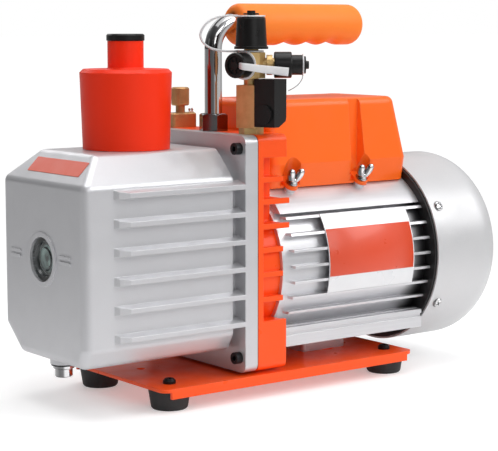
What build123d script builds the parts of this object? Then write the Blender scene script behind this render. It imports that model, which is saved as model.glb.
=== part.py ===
"""Two-stage rotary vane vacuum pump with its motor, carry handle and base.

Row frame, millimetres: X runs from the oil tank (-X) to the fan cover (+X), Y is
across the machine with the inlet ports on the -Y side, Z is up, and the rubber feet
stand on Z = 0.  The origin is the middle of the footprint.
"""
import os
from math import cos, radians, sin

from build123d import *

os.makedirs("parts", exist_ok=True)

# ---------------------------------------------------------------- driving dimensions
total_length = 386.0            # sight glass rim to fan cover
cover_radius = 75.0             # fan cover, the widest part
shaft_z = 91.0                  # shaft height above the floor

front_x = -total_length / 2
back_x = total_length / 2
tank_face_x = front_x + 1.0
flange_front_x = -61.5
flange_back_x = -50.5
gasket = 0.8
bracket_front_x = flange_back_x + gasket
plate_back_x = bracket_front_x + 4.7
bracket_back_x = -24.0
housing_front_x = -27.0
housing_back_x = 115.0
fan_cover_x = 117.0

tank_half_width = 56.0
tank_top_z = 181.5
tank_bottom_z = 36.0
tank_wall = 4.5
tank_bevel = 20.5               # chamfers along the top and the front of the tank
flange_half_width = 62.3
flange_bottom_z = 19.5
flange_top_z = 191.4
flange_corner = 6.0
rib_count = 6
rib_top_z = 155.3
rib_pitch = 19.86

housing_radius = 62.0           # motor barrel between its fins
housing_bore = 57.0
fin_radius = 68.0
fin_count = 8
fin_top_z = 128.8
fin_pitch = 11.6
fin_thickness = 1.9

bore_radius = 32.0              # both pump chambers
rotor_radius = 28.0
rotor_clearance = 0.05
journal_radius = 8.0
shaft_radius = 8.5
running_gap = 0.04

base_top_z = 17.5
sheet = 2.5
base_half_width = 64.2
foot_places = [(x, y) for x in (-117.0, 86.8) for y in (-46.0, 46.0)]

deck_z = flange_top_z           # the fittings stand on the bracket's top deck
stud_radius = 4.8               # each fitting screws into the deck
handle_x = -44.3
handle_axis_z = 272.0
inlet_place = (-44.0, -46.0)
port_z = 241.0
ballast_place = (-38.0, 52.0)
cup_x = -121.5

cover_top_z = 214.5
cover_wall = 2.5
wing_angle = 57.0               # wing screws lean this far above the horizontal
wing_places = [(x, side) for x in (-1.5, 67.0) for side in (-1, 1)]

shaft_axis = Axis((0, 0, shaft_z), (1, 0, 0))


def save(shape, label):
    """Label a finished piece and write it."""
    shape.label = label
    export_step(shape, f"parts/{label}.step")


def across(x):
    """Plane across the machine at X = x, with local x = Y and local y = Z."""
    return Plane.YZ.offset(x)


def across_shaft(x):
    """The same plane, centred on the shaft."""
    return Plane(origin=(x, 0, shaft_z), x_dir=(0, 1, 0), z_dir=(1, 0, 0))


def ring(x_start, x_end, outer, inner):
    """A ring about the shaft."""
    with BuildPart() as piece:
        with BuildSketch(across_shaft(x_start)):
            Circle(outer)
            Circle(inner, mode=Mode.SUBTRACT)
        extrude(amount=x_end - x_start)
    return piece.part


# ---------------------------------------------------------------- base, feet
with BuildPart() as base_plate:
    with BuildSketch(Plane.XY.offset(base_top_z - sheet)):
        with Locations((-16, 0)):
            RectangleRounded(236, 2 * base_half_width, 7)
        with Locations(*foot_places):
            Circle(2.8, mode=Mode.SUBTRACT)
        with Locations((52, -16), (52, 16)):
            Circle(6, mode=Mode.SUBTRACT)
        with Locations((-36, -48), (-36, 48), (-106, 7)):
            Circle(3.2, mode=Mode.SUBTRACT)
    extrude(amount=sheet)
    for side in (-1, 1):
        with BuildSketch(Plane.XY.offset(base_top_z - sheet)):
            with Locations((-16, side * (base_half_width - sheet / 2))):
                Rectangle(222, sheet)
        extrude(amount=-4.9)
save(base_plate.part, "base_plate")

foot_top_z = base_top_z - sheet
with BuildPart() as rubber_feet:
    for x, y in foot_places:
        with BuildSketch(Plane(origin=(x, y, 0), x_dir=(1, 0, 0), z_dir=(0, -1, 0))):
            with BuildLine():
                Polyline((5.5, 0), (12.2, 0), (13.2, 1.2), (15.4, foot_top_z), (2.6, foot_top_z),
                         (2.6, 5.0), (5.5, 5.0), close=True)
            make_face()
        revolve(axis=Axis((x, y, 0), (0, 0, 1)))
save(rubber_feet.part, "rubber_feet")

with BuildPart() as foot_screws:
    for x, y in foot_places:
        with BuildSketch(Plane(origin=(x, y, 0), x_dir=(1, 0, 0), z_dir=(0, -1, 0))):
            with BuildLine():
                Polyline((0, 5.4), (2.5, 5.4), (2.5, base_top_z), (4.6, base_top_z),
                         (4.6, base_top_z + 2.2), (3.2, base_top_z + 3.6), (0, base_top_z + 3.6),
                         close=True)
            make_face()
        revolve(axis=Axis((x, y, 0), (0, 0, 1)))
    with BuildSketch(Plane.XY.offset(base_top_z + 1.4)):
        with Locations(*foot_places):
            RegularPolygon(2.0, 6)
    extrude(amount=3, mode=Mode.SUBTRACT)
save(foot_screws.part, "foot_screws")


# ---------------------------------------------------------------- oil tank
def tank_block(inset, x_front, x_back, rounding):
    """The tank's bevelled block, shrunk by inset on every face but its open back."""
    half = tank_half_width - inset
    top = tank_top_z - inset
    low = tank_bottom_z + inset
    bevel = tank_bevel - 0.4 * inset
    with BuildPart() as block:
        with BuildSketch(across(x_front)):
            with BuildLine():
                Polyline((half, top - bevel), (half - bevel, top), (bevel - half, top),
                         (-half, top - bevel), (-half, low + 13), (7 - half, low),
                         (half - 22, low), (half, low + 19), close=True)
            make_face()
        extrude(amount=x_back - x_front)
        with BuildSketch(Plane.XZ.offset(-100)):
            with BuildLine():
                Polyline((x_front, low - 1), (x_front, top - bevel), (x_front + bevel, top),
                         (x_back, top), (x_back, low - 1), close=True)
            make_face()
        extrude(amount=200, mode=Mode.INTERSECT)
        if rounding:
            soft = [e for e in block.edges() if e.center().X < x_back - 0.5]
            fillet(soft, rounding)
    return block.part


def tank_rib(z_mid):
    """One pair of side ribs with slanted tops and boat-shaped tips."""
    tip_x = -170.0
    with BuildPart() as rib:
        with BuildSketch(across(tip_x)):
            for side in (-1, 1):
                with BuildLine():
                    Polyline((side * (tank_half_width - 3), z_mid - 3.2),
                             (side * flange_half_width, z_mid - 1.9),
                             (side * flange_half_width, z_mid + 1.5),
                             (side * (tank_half_width - 3), z_mid + 4.4), close=True)
                make_face()
        extrude(amount=flange_front_x - tip_x + 1)
        with BuildSketch(Plane.XY.offset(z_mid - 10)):
            with BuildLine():
                Polyline((tip_x, tank_half_width - 1.5), (tip_x + 4, tank_half_width + 3),
                         (tip_x + 11, flange_half_width), (flange_front_x + 1, flange_half_width),
                         (flange_front_x + 1, -flange_half_width), (tip_x + 11, -flange_half_width),
                         (tip_x + 4, -tank_half_width - 3), (tip_x, 1.5 - tank_half_width),
                         close=True)
            make_face()
        extrude(amount=20, mode=Mode.INTERSECT)
    return rib.part


tank_screw_places = [(y, z) for y in (-55.0, 55.0) for z in (30.5, 182.0)]
neck_x = -68.0                  # behind this the tank narrows, to clear the screws
neck_inset = 6.0
glass_z = 107.5
glass_hole = 15.8
glass_ledge = 12.6
glass_back_x = tank_face_x + 6.0
drain_x = -176.0
drain_boss_z = 32.0

outer_block = tank_block(0, tank_face_x, neck_x, 6.5)
neck_block = tank_block(neck_inset, neck_x - 15, flange_front_x + 1, 0)
tank_room = tank_block(neck_inset + 3.2, neck_x - 20, flange_back_x + 1, 0)
front_room = tank_block(tank_wall, tank_face_x + tank_wall, neck_x - tank_wall, 0)

with BuildPart() as oil_tank:
    add(outer_block)
    add(neck_block)
    for k in range(rib_count):
        add(tank_rib(rib_top_z - k * rib_pitch))
    with BuildSketch(across(flange_front_x)):
        with Locations((0, (flange_bottom_z + flange_top_z) / 2)):
            RectangleRounded(2 * flange_half_width, flange_top_z - flange_bottom_z, flange_corner)
    extrude(amount=flange_back_x - flange_front_x)
    with BuildSketch(across(neck_x - 3)):
        with Locations(*tank_screw_places):
            Circle(9.0)
    extrude(amount=flange_front_x - neck_x + 3, mode=Mode.SUBTRACT)
    # sight glass boss behind the front wall, drain boss under the floor, filter neck on top
    with BuildSketch(across(tank_face_x + 1)):
        with Locations((0, glass_z)):
            Circle(20)
    extrude(amount=10)
    with BuildSketch(Plane.XY.offset(drain_boss_z)):
        with Locations((drain_x, 0)):
            Circle(9.5)
    extrude(amount=12)
    add(front_room, mode=Mode.SUBTRACT)
    add(tank_room, mode=Mode.SUBTRACT)
    with BuildSketch(across(tank_face_x + 3)):
        with Locations((0, glass_z)):
            Circle(20)
            Circle(glass_ledge, mode=Mode.SUBTRACT)
    extrude(amount=6)
    with BuildSketch(Plane.XY.offset(tank_bottom_z)):
        with Locations((drain_x, 0)):
            Circle(9.5)
    extrude(amount=9)
    with BuildSketch(Plane.XY.offset(tank_top_z - tank_wall - 3)):
        with Locations((cup_x, 0)):
            Circle(15)
    extrude(amount=6)
    # proud ring and the pairs of level bars on the front face
    with BuildSketch(across(front_x)):
        with Locations((0, glass_z)):
            Circle(19.2)
            Circle(glass_hole, mode=Mode.SUBTRACT)
        with Locations((36.5, 110.5), (36.5, 106.7), (-30.8, 112.0), (-30.8, 108.0)):
            RectangleRounded(14.5, 2.2, 1.0)
    extrude(amount=1.5)
    with BuildSketch(across(front_x)):
        with Locations((0, glass_z)):
            Circle(glass_hole)
    extrude(amount=glass_back_x - front_x, mode=Mode.SUBTRACT)
    with BuildSketch(Plane.XY.offset(drain_boss_z)):
        with Locations((drain_x, 0)):
            Circle(5.1)
    extrude(amount=20, mode=Mode.SUBTRACT)
    with BuildSketch(Plane.XY.offset(tank_top_z - 12)):
        with Locations((cup_x, 0)):
            Circle(11.1)
    extrude(amount=20, mode=Mode.SUBTRACT)
    with BuildSketch(across(flange_front_x - 0.1)):
        with Locations(*tank_screw_places):
            Circle(2.7)
    extrude(amount=flange_back_x - flange_front_x + 1, mode=Mode.SUBTRACT)
save(oil_tank.part, "oil_tank")

with BuildPart() as sight_glass:
    with BuildSketch(Plane(origin=(0, 0, glass_z), x_dir=(1, 0, 0), z_dir=(0, -1, 0))):
        with BuildLine():
            Polyline((tank_face_x + 2.0, 0), (tank_face_x + 2.0, 7.5), (tank_face_x + 3.0, 8.5),
                     (tank_face_x + 3.0, 11.5), (tank_face_x + 1.2, 12.5),
                     (tank_face_x + 1.2, glass_hole), (glass_back_x, glass_hole),
                     (glass_back_x, 0), close=True)
        make_face()
    revolve(axis=Axis((0, 0, glass_z), (1, 0, 0)))
save(sight_glass.part, "sight_glass")

with BuildPart() as drain_washer:
    with BuildSketch(Plane.XY.offset(drain_boss_z - 1.2)):
        with Locations((drain_x, 0)):
            Circle(8.8)
            Circle(5.0, mode=Mode.SUBTRACT)
    extrude(amount=1.2)
save(drain_washer.part, "drain_washer")

with BuildPart() as drain_plug:
    with BuildSketch(Plane(origin=(drain_x, 0, 0), x_dir=(1, 0, 0), z_dir=(0, -1, 0))):
        with BuildLine():
            Polyline((0, 22.4), (5.6, 22.4), (6.3, 23.1), (6.3, 28.2), (7.6, 28.8),
                     (7.6, drain_boss_z - 1.2), (4.95, drain_boss_z - 1.2), (4.95, 44.0),
                     (0, 44.0), close=True)
        make_face()
    revolve(axis=Axis((drain_x, 0, 0), (0, 0, 1)))
    with BuildSketch(Plane.XY.offset(22.4)):
        with Locations((drain_x, 0)):
            RegularPolygon(3.0, 6)
    extrude(amount=4, mode=Mode.SUBTRACT)
save(drain_plug.part, "drain_plug")

with BuildPart() as tank_gasket:
    with BuildSketch(across(flange_back_x)):
        with Locations((0, (flange_bottom_z + flange_top_z) / 2)):
            RectangleRounded(2 * flange_half_width - 1, flange_top_z - flange_bottom_z - 1, 5.5)
            RectangleRounded(90, 124, 14, mode=Mode.SUBTRACT)
        with Locations(*tank_screw_places):
            Circle(2.7, mode=Mode.SUBTRACT)
    extrude(amount=gasket)
save(tank_gasket.part, "tank_gasket")

with BuildPart() as tank_screws:
    with BuildSketch(across(flange_front_x - 5)):
        with Locations(*tank_screw_places):
            Circle(4.3)
    extrude(amount=5)
    with BuildSketch(across(flange_front_x)):
        with Locations(*tank_screw_places):
            Circle(2.5)
    extrude(amount=17)
    with BuildSketch(across(flange_front_x - 5)):
        with Locations(*tank_screw_places):
            RegularPolygon(2.3, 6)
    extrude(amount=3, mode=Mode.SUBTRACT)
save(tank_screws.part, "tank_screws")

# ---------------------------------------------------------------- exhaust filter
cup_plane = Plane(origin=(cup_x, 0, 0), x_dir=(1, 0, 0), z_dir=(0, -1, 0))
cup_axis = Axis((cup_x, 0, 0), (0, 0, 1))
cup_seat_z = tank_top_z + 0.2
cup_top_z = 238.5
neck_top_z = 258.3

with BuildPart() as exhaust_cup:
    with BuildSketch(cup_plane):
        with BuildLine():
            Polyline((8.0, cup_seat_z - 9), (11.0, cup_seat_z - 9), (11.0, cup_seat_z),
                     (31.2, cup_seat_z), (33.0, cup_top_z - 2.5), (30.5, cup_top_z),
                     (13.6, cup_top_z), (12.9, cup_top_z + 1), (12.9, neck_top_z),
                     (10.4, neck_top_z), (10.4, cup_top_z - 2.5), (30.0, cup_top_z - 2.5),
                     (28.6, cup_seat_z + 2.5), (8.0, cup_seat_z + 2.5), close=True)
        make_face()
    revolve(axis=cup_axis)
save(exhaust_cup.part, "exhaust_cup")

with BuildPart() as exhaust_filter_element:
    with BuildSketch(cup_plane):
        with BuildLine():
            Polyline((10.5, cup_seat_z + 2.6), (24.0, cup_seat_z + 2.6), (24.0, cup_top_z - 4),
                     (0, cup_top_z - 4), (0, cup_top_z - 8), (10.5, cup_top_z - 8), close=True)
        make_face()
    revolve(axis=cup_axis)
save(exhaust_filter_element.part, "exhaust_filter_element")

with BuildPart() as exhaust_plug:
    with BuildSketch(cup_plane):
        with BuildLine():
            Polyline((0, neck_top_z + 5), (12.6, neck_top_z + 5), (13.6, neck_top_z + 4),
                     (13.6, neck_top_z + 0.5), (13.2, neck_top_z + 0.05), (10.2, neck_top_z + 0.05),
                     (9.9, neck_top_z - 10), (8.4, neck_top_z - 10), (8.4, neck_top_z + 2.5),
                     (0, neck_top_z + 2.5), close=True)
        make_face()
    revolve(axis=cup_axis)
save(exhaust_plug.part, "exhaust_plug")


# ---------------------------------------------------------------- pump bracket
bracket_half_width = 62.0
bracket_barrel_radius = 59.0
bracket_fin_z = (159.0, 143.0, 125.0, 108.0, 90.0, 72.0)
finger_z = (143.0, 125.0)
bearing_outer = 20.0
seal_x = (-44.7, -40.2)
boss_end_x = -9.0
bearing_spans = [(-22.0, -10.0), (104.5, 116.5)]


def bracket_band(z_low, z_high, half_width, x_end):
    """A slice of the bracket's rounded outline between two heights."""
    with BuildPart() as band:
        with BuildSketch(across(plate_back_x - 0.5)):
            with Locations((0, (flange_bottom_z + flange_top_z) / 2)):
                RectangleRounded(2 * half_width, flange_top_z - flange_bottom_z, 5)
            with Locations((0, (z_low + z_high) / 2)):
                Rectangle(2 * half_width, z_high - z_low, mode=Mode.INTERSECT)
        extrude(amount=x_end - plate_back_x + 0.5)
    return band.part


with BuildPart() as pump_bracket:
    with BuildSketch(across(bracket_front_x)):
        with Locations((0, (flange_bottom_z + flange_top_z) / 2)):
            RectangleRounded(2 * bracket_half_width, flange_top_z - flange_bottom_z, 5)
    extrude(amount=plate_back_x - bracket_front_x)
    with BuildSketch(across_shaft(plate_back_x - 0.5)):
        Circle(bracket_barrel_radius)
    extrude(amount=housing_front_x - plate_back_x + 0.5)
    # core wall behind the side pockets, fins across the pockets, deck and foot
    add(bracket_band(50, 180, 46, housing_front_x))
    for z in bracket_fin_z:
        add(bracket_band(z - 1.9, z + 1.9, bracket_half_width, housing_front_x))
    add(bracket_band(175, flange_top_z + 1, bracket_half_width, bracket_back_x))
    add(bracket_band(flange_bottom_z - 1, 56, bracket_half_width, bracket_back_x))
    # room for the motor barrel, then the finger lugs beside it
    with BuildSketch(across_shaft(housing_front_x)):
        Circle(fin_radius + 0.4)
    extrude(amount=10, mode=Mode.SUBTRACT)
    for z in finger_z:
        with BuildSketch(Plane.XY.offset(z - 1.9)):
            with Locations(*[(housing_front_x, side * (bracket_half_width - 1.6)) for side in (-1, 1)]):
                SlotOverall(13, 3.2)
        extrude(amount=3.8)
    # bearing boss, coupling chamber, seal pocket and journal bore along the shaft
    with BuildSketch(across_shaft(housing_front_x - 1)):
        Circle(bearing_outer + 5)
    extrude(amount=boss_end_x - housing_front_x + 1)
    with BuildSketch(across_shaft(seal_x[1])):
        Circle(bearing_outer)
    extrude(amount=boss_end_x - seal_x[1], mode=Mode.SUBTRACT)
    with BuildSketch(across_shaft(seal_x[0])):
        Circle(14)
    extrude(amount=seal_x[1] - seal_x[0], mode=Mode.SUBTRACT)
    with BuildSketch(across_shaft(bracket_front_x)):
        Circle(journal_radius + running_gap)
    extrude(amount=10, mode=Mode.SUBTRACT)
    with BuildSketch(across(bracket_front_x)):
        with Locations(*tank_screw_places):
            Circle(2.6)
    extrude(amount=6.2, mode=Mode.SUBTRACT)
    # threaded sockets in the deck for the handle, the inlet valve and the gas ballast
    for place in ((handle_x, 0), inlet_place, ballast_place):
        with BuildSketch(Plane.XY.offset(deck_z - 14)):
            with Locations(place):
                Circle(stud_radius + 0.1)
        extrude(amount=15, mode=Mode.SUBTRACT)
save(pump_bracket.part, "pump_bracket")

save(ring(seal_x[0], seal_x[1], 14, journal_radius + running_gap), "shaft_seal")

# ---------------------------------------------------------------- pump stages inside the tank
first_x = (-97.7, bracket_front_x)
divider_x = (-103.7, first_x[0])
second_x = (-125.7, divider_x[0])
end_x = (-133.7, second_x[0])
bore_z = shaft_z + rotor_radius + rotor_clearance - bore_radius
block_low_z = 50.0
block_high_z = 132.0


def stage_block(x_span, hole_radius, hole_z, label):
    """A cylinder block or end wall of the pump, with one bore through it."""
    with BuildPart() as block:
        with BuildSketch(across(x_span[0])):
            with Locations((0, (block_low_z + block_high_z) / 2)):
                RectangleRounded(80, block_high_z - block_low_z, 18)
            with Locations((0, hole_z)):
                Circle(hole_radius, mode=Mode.SUBTRACT)
        extrude(amount=x_span[1] - x_span[0])
    save(block.part, label)


stage_block(first_x, bore_radius, bore_z, "first_stage_cylinder")
stage_block(divider_x, journal_radius + running_gap, shaft_z, "divider_plate")
stage_block(second_x, bore_radius, bore_z, "second_stage_cylinder")
stage_block(end_x, journal_radius + running_gap, shaft_z, "pump_end_plate")

end_gap = 0.06
vane_thickness = 5.0
vane_tip = rotor_radius - 0.15
vane_root = 11.0
slot_floor = 7.5
slot_gap = 0.06
rotor_joint_x = -100.7          # the two rotors' journals meet inside the divider
coupling_x = (-39.5, -23.0)
journal_end_x = -31.0


def rotor(x_span, stub_start, stub_end, label):
    """A rotor with two vane slots, lying across the machine at rest, and its journals."""
    with BuildPart() as body:
        with BuildSketch(across_shaft(x_span[0] + end_gap)):
            Circle(rotor_radius)
            Rectangle(2 * rotor_radius + 2, vane_thickness + 2 * slot_gap, mode=Mode.SUBTRACT)
            Rectangle(2 * slot_floor, vane_thickness + 2)
        extrude(amount=x_span[1] - x_span[0] - 2 * end_gap)
        with BuildSketch(across_shaft(stub_start)):
            Circle(journal_radius)
        extrude(amount=x_span[0] + end_gap - stub_start)
        with BuildSketch(across_shaft(x_span[1] - end_gap)):
            Circle(journal_radius)
        extrude(amount=stub_end - x_span[1] + end_gap)
    save(body.part, label)


def vane(x_span, side, label):
    """A flat vane with a rounded tip, flush with the rotor at rest."""
    shoulder = side * (vane_tip - 0.8)
    root = side * vane_root
    half = vane_thickness / 2
    with BuildPart() as body:
        with BuildSketch(across_shaft(x_span[0] + 2 * end_gap)):
            with BuildLine():
                Polyline((shoulder, half), (root, half), (root, -half), (shoulder, -half))
                ThreePointArc((shoulder, -half), (side * vane_tip, 0), (shoulder, half))
            make_face()
        extrude(amount=x_span[1] - x_span[0] - 4 * end_gap)
    save(body.part, label)


rotor(first_x, rotor_joint_x + 0.2, journal_end_x, "first_stage_rotor")
rotor(second_x, end_x[0] + 1, rotor_joint_x, "second_stage_rotor")
for stage, span in (("first", first_x), ("second", second_x)):
    vane(span, -1, f"{stage}_stage_vane_a")
    vane(span, 1, f"{stage}_stage_vane_b")

with BuildPart() as vane_springs:
    for x in (-86.0, -62.0, -114.7):
        for side in (-1, 1):
            with BuildLine() as coil:
                Helix(pitch=0.9, height=vane_root - slot_floor - 0.8, radius=1.7,
                      center=(x, side * (slot_floor + 0.4), shaft_z), direction=(0, side, 0))
            with BuildSketch(Plane(origin=coil.line @ 0, z_dir=coil.line % 0)):
                Circle(0.28)
            sweep(path=coil.line)
save(vane_springs.part, "vane_springs")

save(ring(*coupling_x, 16, journal_radius + 0.02), "shaft_coupling")

# ---------------------------------------------------------------- motor
motor_plane = Plane(origin=(0, 0, shaft_z), x_dir=(1, 0, 0), z_dir=(0, -1, 0))
fin_start_x = -20.0
stator_x = (25.0, 85.0)
fan_x = (121.0, 150.0)
wing_boss_radius = 4.5
ear_r = (70.6, 73.4)            # distance of the cover's ears from the shaft
ear_radius = 5.6


def wing_plane(x, side, r):
    """Plane square to a wing screw, r from the shaft, facing outward."""
    lean = radians(wing_angle)
    out = Vector(0, side * cos(lean), sin(lean))
    return Plane(origin=(x, out.Y * r, shaft_z + out.Z * r), x_dir=(1, 0, 0), z_dir=out)


def wing_rod(x, side, r_start, r_end, radius):
    """A plain cylinder along a wing screw's line."""
    with BuildPart() as rod:
        with BuildSketch(wing_plane(x, side, r_start)):
            Circle(radius)
        extrude(amount=r_end - r_start)
    return rod.part


with BuildPart() as motor_housing:
    with BuildSketch(across_shaft(housing_front_x)):
        Circle(housing_radius)
    extrude(amount=housing_back_x - housing_front_x)
    with BuildSketch(across_shaft(fin_start_x)):
        with Locations(*[(0, fin_top_z - shaft_z - k * fin_pitch) for k in range(fin_count)]):
            Rectangle(2 * fin_radius + 2, fin_thickness)
        Circle(fin_radius, mode=Mode.INTERSECT)
    extrude(amount=housing_back_x - fin_start_x)
    # smooth shoulder under the cover and the foot rails below
    with BuildSketch(across_shaft(bracket_back_x + 1)):
        Circle(fin_radius - 0.7)
        with Locations((0, 41 + 20)):
            Rectangle(150, 40, mode=Mode.INTERSECT)
    extrude(amount=housing_back_x - bracket_back_x - 1)
    with BuildSketch(across(bracket_back_x + 1)):
        with Locations((0, 41)):
            Rectangle(116.8, 14)
        with Locations((-58.4, 43.5), (58.4, 43.5)):
            Rectangle(3, 2.6, mode=Mode.SUBTRACT)
    extrude(amount=housing_back_x - bracket_back_x - 1)
    with BuildSketch(Plane.XY.offset(base_top_z)):
        with Locations((50, 0)):
            RectangleRounded(44, 36, 5)
    extrude(amount=20)
    for x, side in wing_places:
        add(wing_rod(x, side, 60, ear_r[0] - 0.1, wing_boss_radius))
    with BuildSketch(across_shaft(housing_front_x)):
        Circle(housing_bore)
    extrude(amount=housing_back_x - housing_front_x, mode=Mode.SUBTRACT)
    for x, side in wing_places:
        add(wing_rod(x, side, 62.5, 72, 2.6), mode=Mode.SUBTRACT)
save(motor_housing.part, "motor_housing")

with BuildPart() as stator_core:
    with BuildSketch(across_shaft(stator_x[0])):
        Circle(housing_bore - 0.1)
        Circle(31, mode=Mode.SUBTRACT)
        with PolarLocations(40, 24):
            Rectangle(14, 4.2, mode=Mode.SUBTRACT)
    extrude(amount=stator_x[1] - stator_x[0])
save(stator_core.part, "stator_core")

with BuildPart() as stator_windings:
    for x in (stator_x[0] - 14, stator_x[1] + 1):
        with BuildSketch(motor_plane):
            with Locations((x + 6.5, 41.5)):
                RectangleRounded(13, 15, 5)
        revolve(axis=shaft_axis)
    with BuildSketch(across_shaft(stator_x[0] - 6)):
        with PolarLocations(40, 24):
            Rectangle(12, 3.6)
    extrude(amount=stator_x[1] - stator_x[0] + 12)
save(stator_windings.part, "stator_windings")

save(ring(stator_x[0] + 2, stator_x[1] - 2, 30.4, shaft_radius + 0.02), "motor_rotor")

with BuildPart() as motor_shaft:
    with BuildSketch(motor_plane):
        with BuildLine():
            Polyline((-30.5, 0), (-30.5, journal_radius), (-22.5, journal_radius),
                     (-22.5, shaft_radius), (118, shaft_radius), (118, 7), (151.5, 7),
                     (152.5, 6), (152.5, 0), close=True)
        make_face()
    revolve(axis=shaft_axis)
save(motor_shaft.part, "motor_shaft")

with BuildPart() as motor_bearings:
    for start, end in bearing_spans:
        bore = shaft_radius + running_gap
        rim = bearing_outer - 0.02
        with BuildSketch(motor_plane):
            with BuildLine():
                Polyline((start, bore), (start, bore + 3), (start + 1, bore + 3),
                         (start + 1, rim - 3), (start, rim - 3), (start, rim), (end, rim),
                         (end, rim - 3), (end - 1, rim - 3), (end - 1, bore + 3),
                         (end, bore + 3), (end, bore), close=True)
            make_face()
        revolve(axis=shaft_axis)
save(motor_bearings.part, "motor_bearings")

shield_rim = 73.2
with BuildPart() as rear_end_shield:
    with BuildSketch(motor_plane):
        with BuildLine():
            Polyline((109, 52), (109, housing_bore - 0.1), (housing_back_x, housing_bore - 0.1),
                     (housing_back_x, shield_rim), (131, shield_rim), (131, 69.5), (118.5, 69.5),
                     (118.5, 26), (119.5, 26), (119.5, 9.5), (116.6, 9.5),
                     (116.6, bearing_outer), (103, bearing_outer), (103, 26),
                     (housing_back_x, 26), (housing_back_x, 52), close=True)
        make_face()
    revolve(axis=shaft_axis)
save(rear_end_shield.part, "rear_end_shield")

with BuildPart() as cooling_fan:
    with BuildSketch(across_shaft(fan_x[0])):
        Circle(13)
    extrude(amount=fan_x[1] - fan_x[0])
    with BuildSketch(across_shaft(fan_x[0] + 2.5)):
        Circle(62)
    extrude(amount=2.2)
    with BuildSketch(across_shaft(fan_x[0] + 3)):
        with PolarLocations(37, 9):
            Rectangle(50, 2.2)
    extrude(amount=fan_x[1] - fan_x[0] - 3)
    with BuildSketch(across_shaft(fan_x[0])):
        Circle(7.02)
    extrude(amount=fan_x[1] - fan_x[0], mode=Mode.SUBTRACT)
save(cooling_fan.part, "cooling_fan")

cover_skin = 1.5
cover_screw_x = 125.5
cover_screw_angles = [side * 30.5 + turn for side in (-1, 1) for turn in (0, 180)]
vent_rings = [(18, 8), (29, 14), (40, 20), (51, 26)]


def fan_cover_profile(shrink):
    """Half section of the domed cover, from its rim round to the shaft line."""
    outer = cover_radius - shrink
    back = back_x - shrink
    bend = 27 - shrink
    with BuildLine() as line:
        Polyline((fan_cover_x - shrink, 0), (fan_cover_x - shrink, outer), (back - bend, outer))
        ThreePointArc((back - bend, outer),
                      (back - bend + bend * sin(radians(45)), outer - bend + bend * cos(radians(45))),
                      (back, outer - bend))
        Polyline((back, outer - bend), (back, 0), (fan_cover_x - shrink, 0))
    return line.line


with BuildPart() as fan_cover:
    with BuildSketch(motor_plane):
        add(fan_cover_profile(0))
        make_face()
    revolve(axis=shaft_axis)
    with BuildSketch(motor_plane):
        add(fan_cover_profile(cover_skin))
        make_face()
    revolve(axis=shaft_axis, mode=Mode.SUBTRACT)
    for radius, count in vent_rings:
        with BuildSketch(across_shaft(back_x - 5)):
            with PolarLocations(radius, count):
                SlotOverall(8.5, 3.4)
        extrude(amount=10, mode=Mode.SUBTRACT)
    for angle in cover_screw_angles:
        with BuildSketch(Plane(origin=(cover_screw_x, 0, shaft_z), x_dir=(1, 0, 0),
                               z_dir=(0, cos(radians(angle)), sin(radians(angle))))):
            Circle(2.3)
        extrude(amount=80, mode=Mode.SUBTRACT)
save(fan_cover.part, "fan_cover")

with BuildPart() as fan_cover_screws:
    for angle in cover_screw_angles:
        out = Vector(0, cos(radians(angle)), sin(radians(angle)))
        origin = Vector(cover_screw_x, 0, shaft_z)
        with BuildSketch(Plane(origin=origin + out * (shield_rim + 0.05), x_dir=(1, 0, 0), z_dir=out)):
            Circle(2.1)
        extrude(amount=3)
        with BuildSketch(Plane(origin=origin + out * cover_radius, x_dir=(1, 0, 0), z_dir=out)):
            Circle(4.0)
        extrude(amount=2.2, taper=20)
save(fan_cover_screws.part, "fan_cover_screws")

plate_x = (12.0, 97.0)
plate_z = (72.0, 130.0)
with BuildPart() as nameplate:
    with BuildSketch(across_shaft(plate_x[0])):
        Circle(fin_radius + 0.75)
        Circle(fin_radius + 0.05, mode=Mode.SUBTRACT)
        with Locations((-40, (plate_z[0] + plate_z[1]) / 2 - shaft_z)):
            Rectangle(80, plate_z[1] - plate_z[0], mode=Mode.INTERSECT)
    extrude(amount=plate_x[1] - plate_x[0])
save(nameplate.part, "nameplate")

# ---------------------------------------------------------------- top cover and its screws
cover_front_x = -23.5
cover_ledge_z = 167.0
cover_bottom_z = 149.0
groove_x = (54.0, 70.5)


def cover_form(shrink):
    """The cover's outline as two stacked tapering blocks, shrunk by one wall thickness."""
    stations = ((cover_bottom_z, 116.3, 37.0), (cover_ledge_z, 114.5, 42.0),
                (cover_top_z - shrink, 106.0, 36.0))
    sections = []
    for z, rear, half in stations:
        front = cover_front_x + shrink
        back = rear - shrink
        with BuildSketch(Plane.XY.offset(z)) as section:
            with Locations(((front + back) / 2, 0)):
                RectangleRounded(back - front, 2 * (half - shrink), 9 - shrink)
        sections.append(section.sketch)
    with BuildPart() as form:
        loft(sections=sections[:2], ruled=True)
        loft(sections=sections[1:], ruled=True)
        fillet(form.edges().group_by(Axis.Z)[-1], 6 - shrink)
    return form.part


def cover_recesses(spread):
    """Hand room round the wing screws and the grooves above the rear pair."""
    with BuildPart() as recess:
        for x, side in wing_places:
            add(wing_rod(x, side, ear_r[0] - spread, 96, 9.5 + spread))
        for side in (-1, 1):
            with BuildSketch(Plane.XY.offset(156)):
                with BuildLine():
                    Polyline((groove_x[0] - spread, side * 48),
                             (groove_x[0] + 3 - spread, side * (34 - spread)),
                             (groove_x[1] - 3 + spread, side * (34 - spread)),
                             (groove_x[1] + spread, side * 48), close=True)
                make_face()
            extrude(amount=60 + spread)
    return recess.part


panel_z = 187.0
switch_x = 31.0
socket_x = -1.0
panel_y = 41.0                  # flat moulded pad for the switch and the power inlet
socket_body = (27.2, 19.6)
switch_body = (21.0, 19.0)

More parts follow.
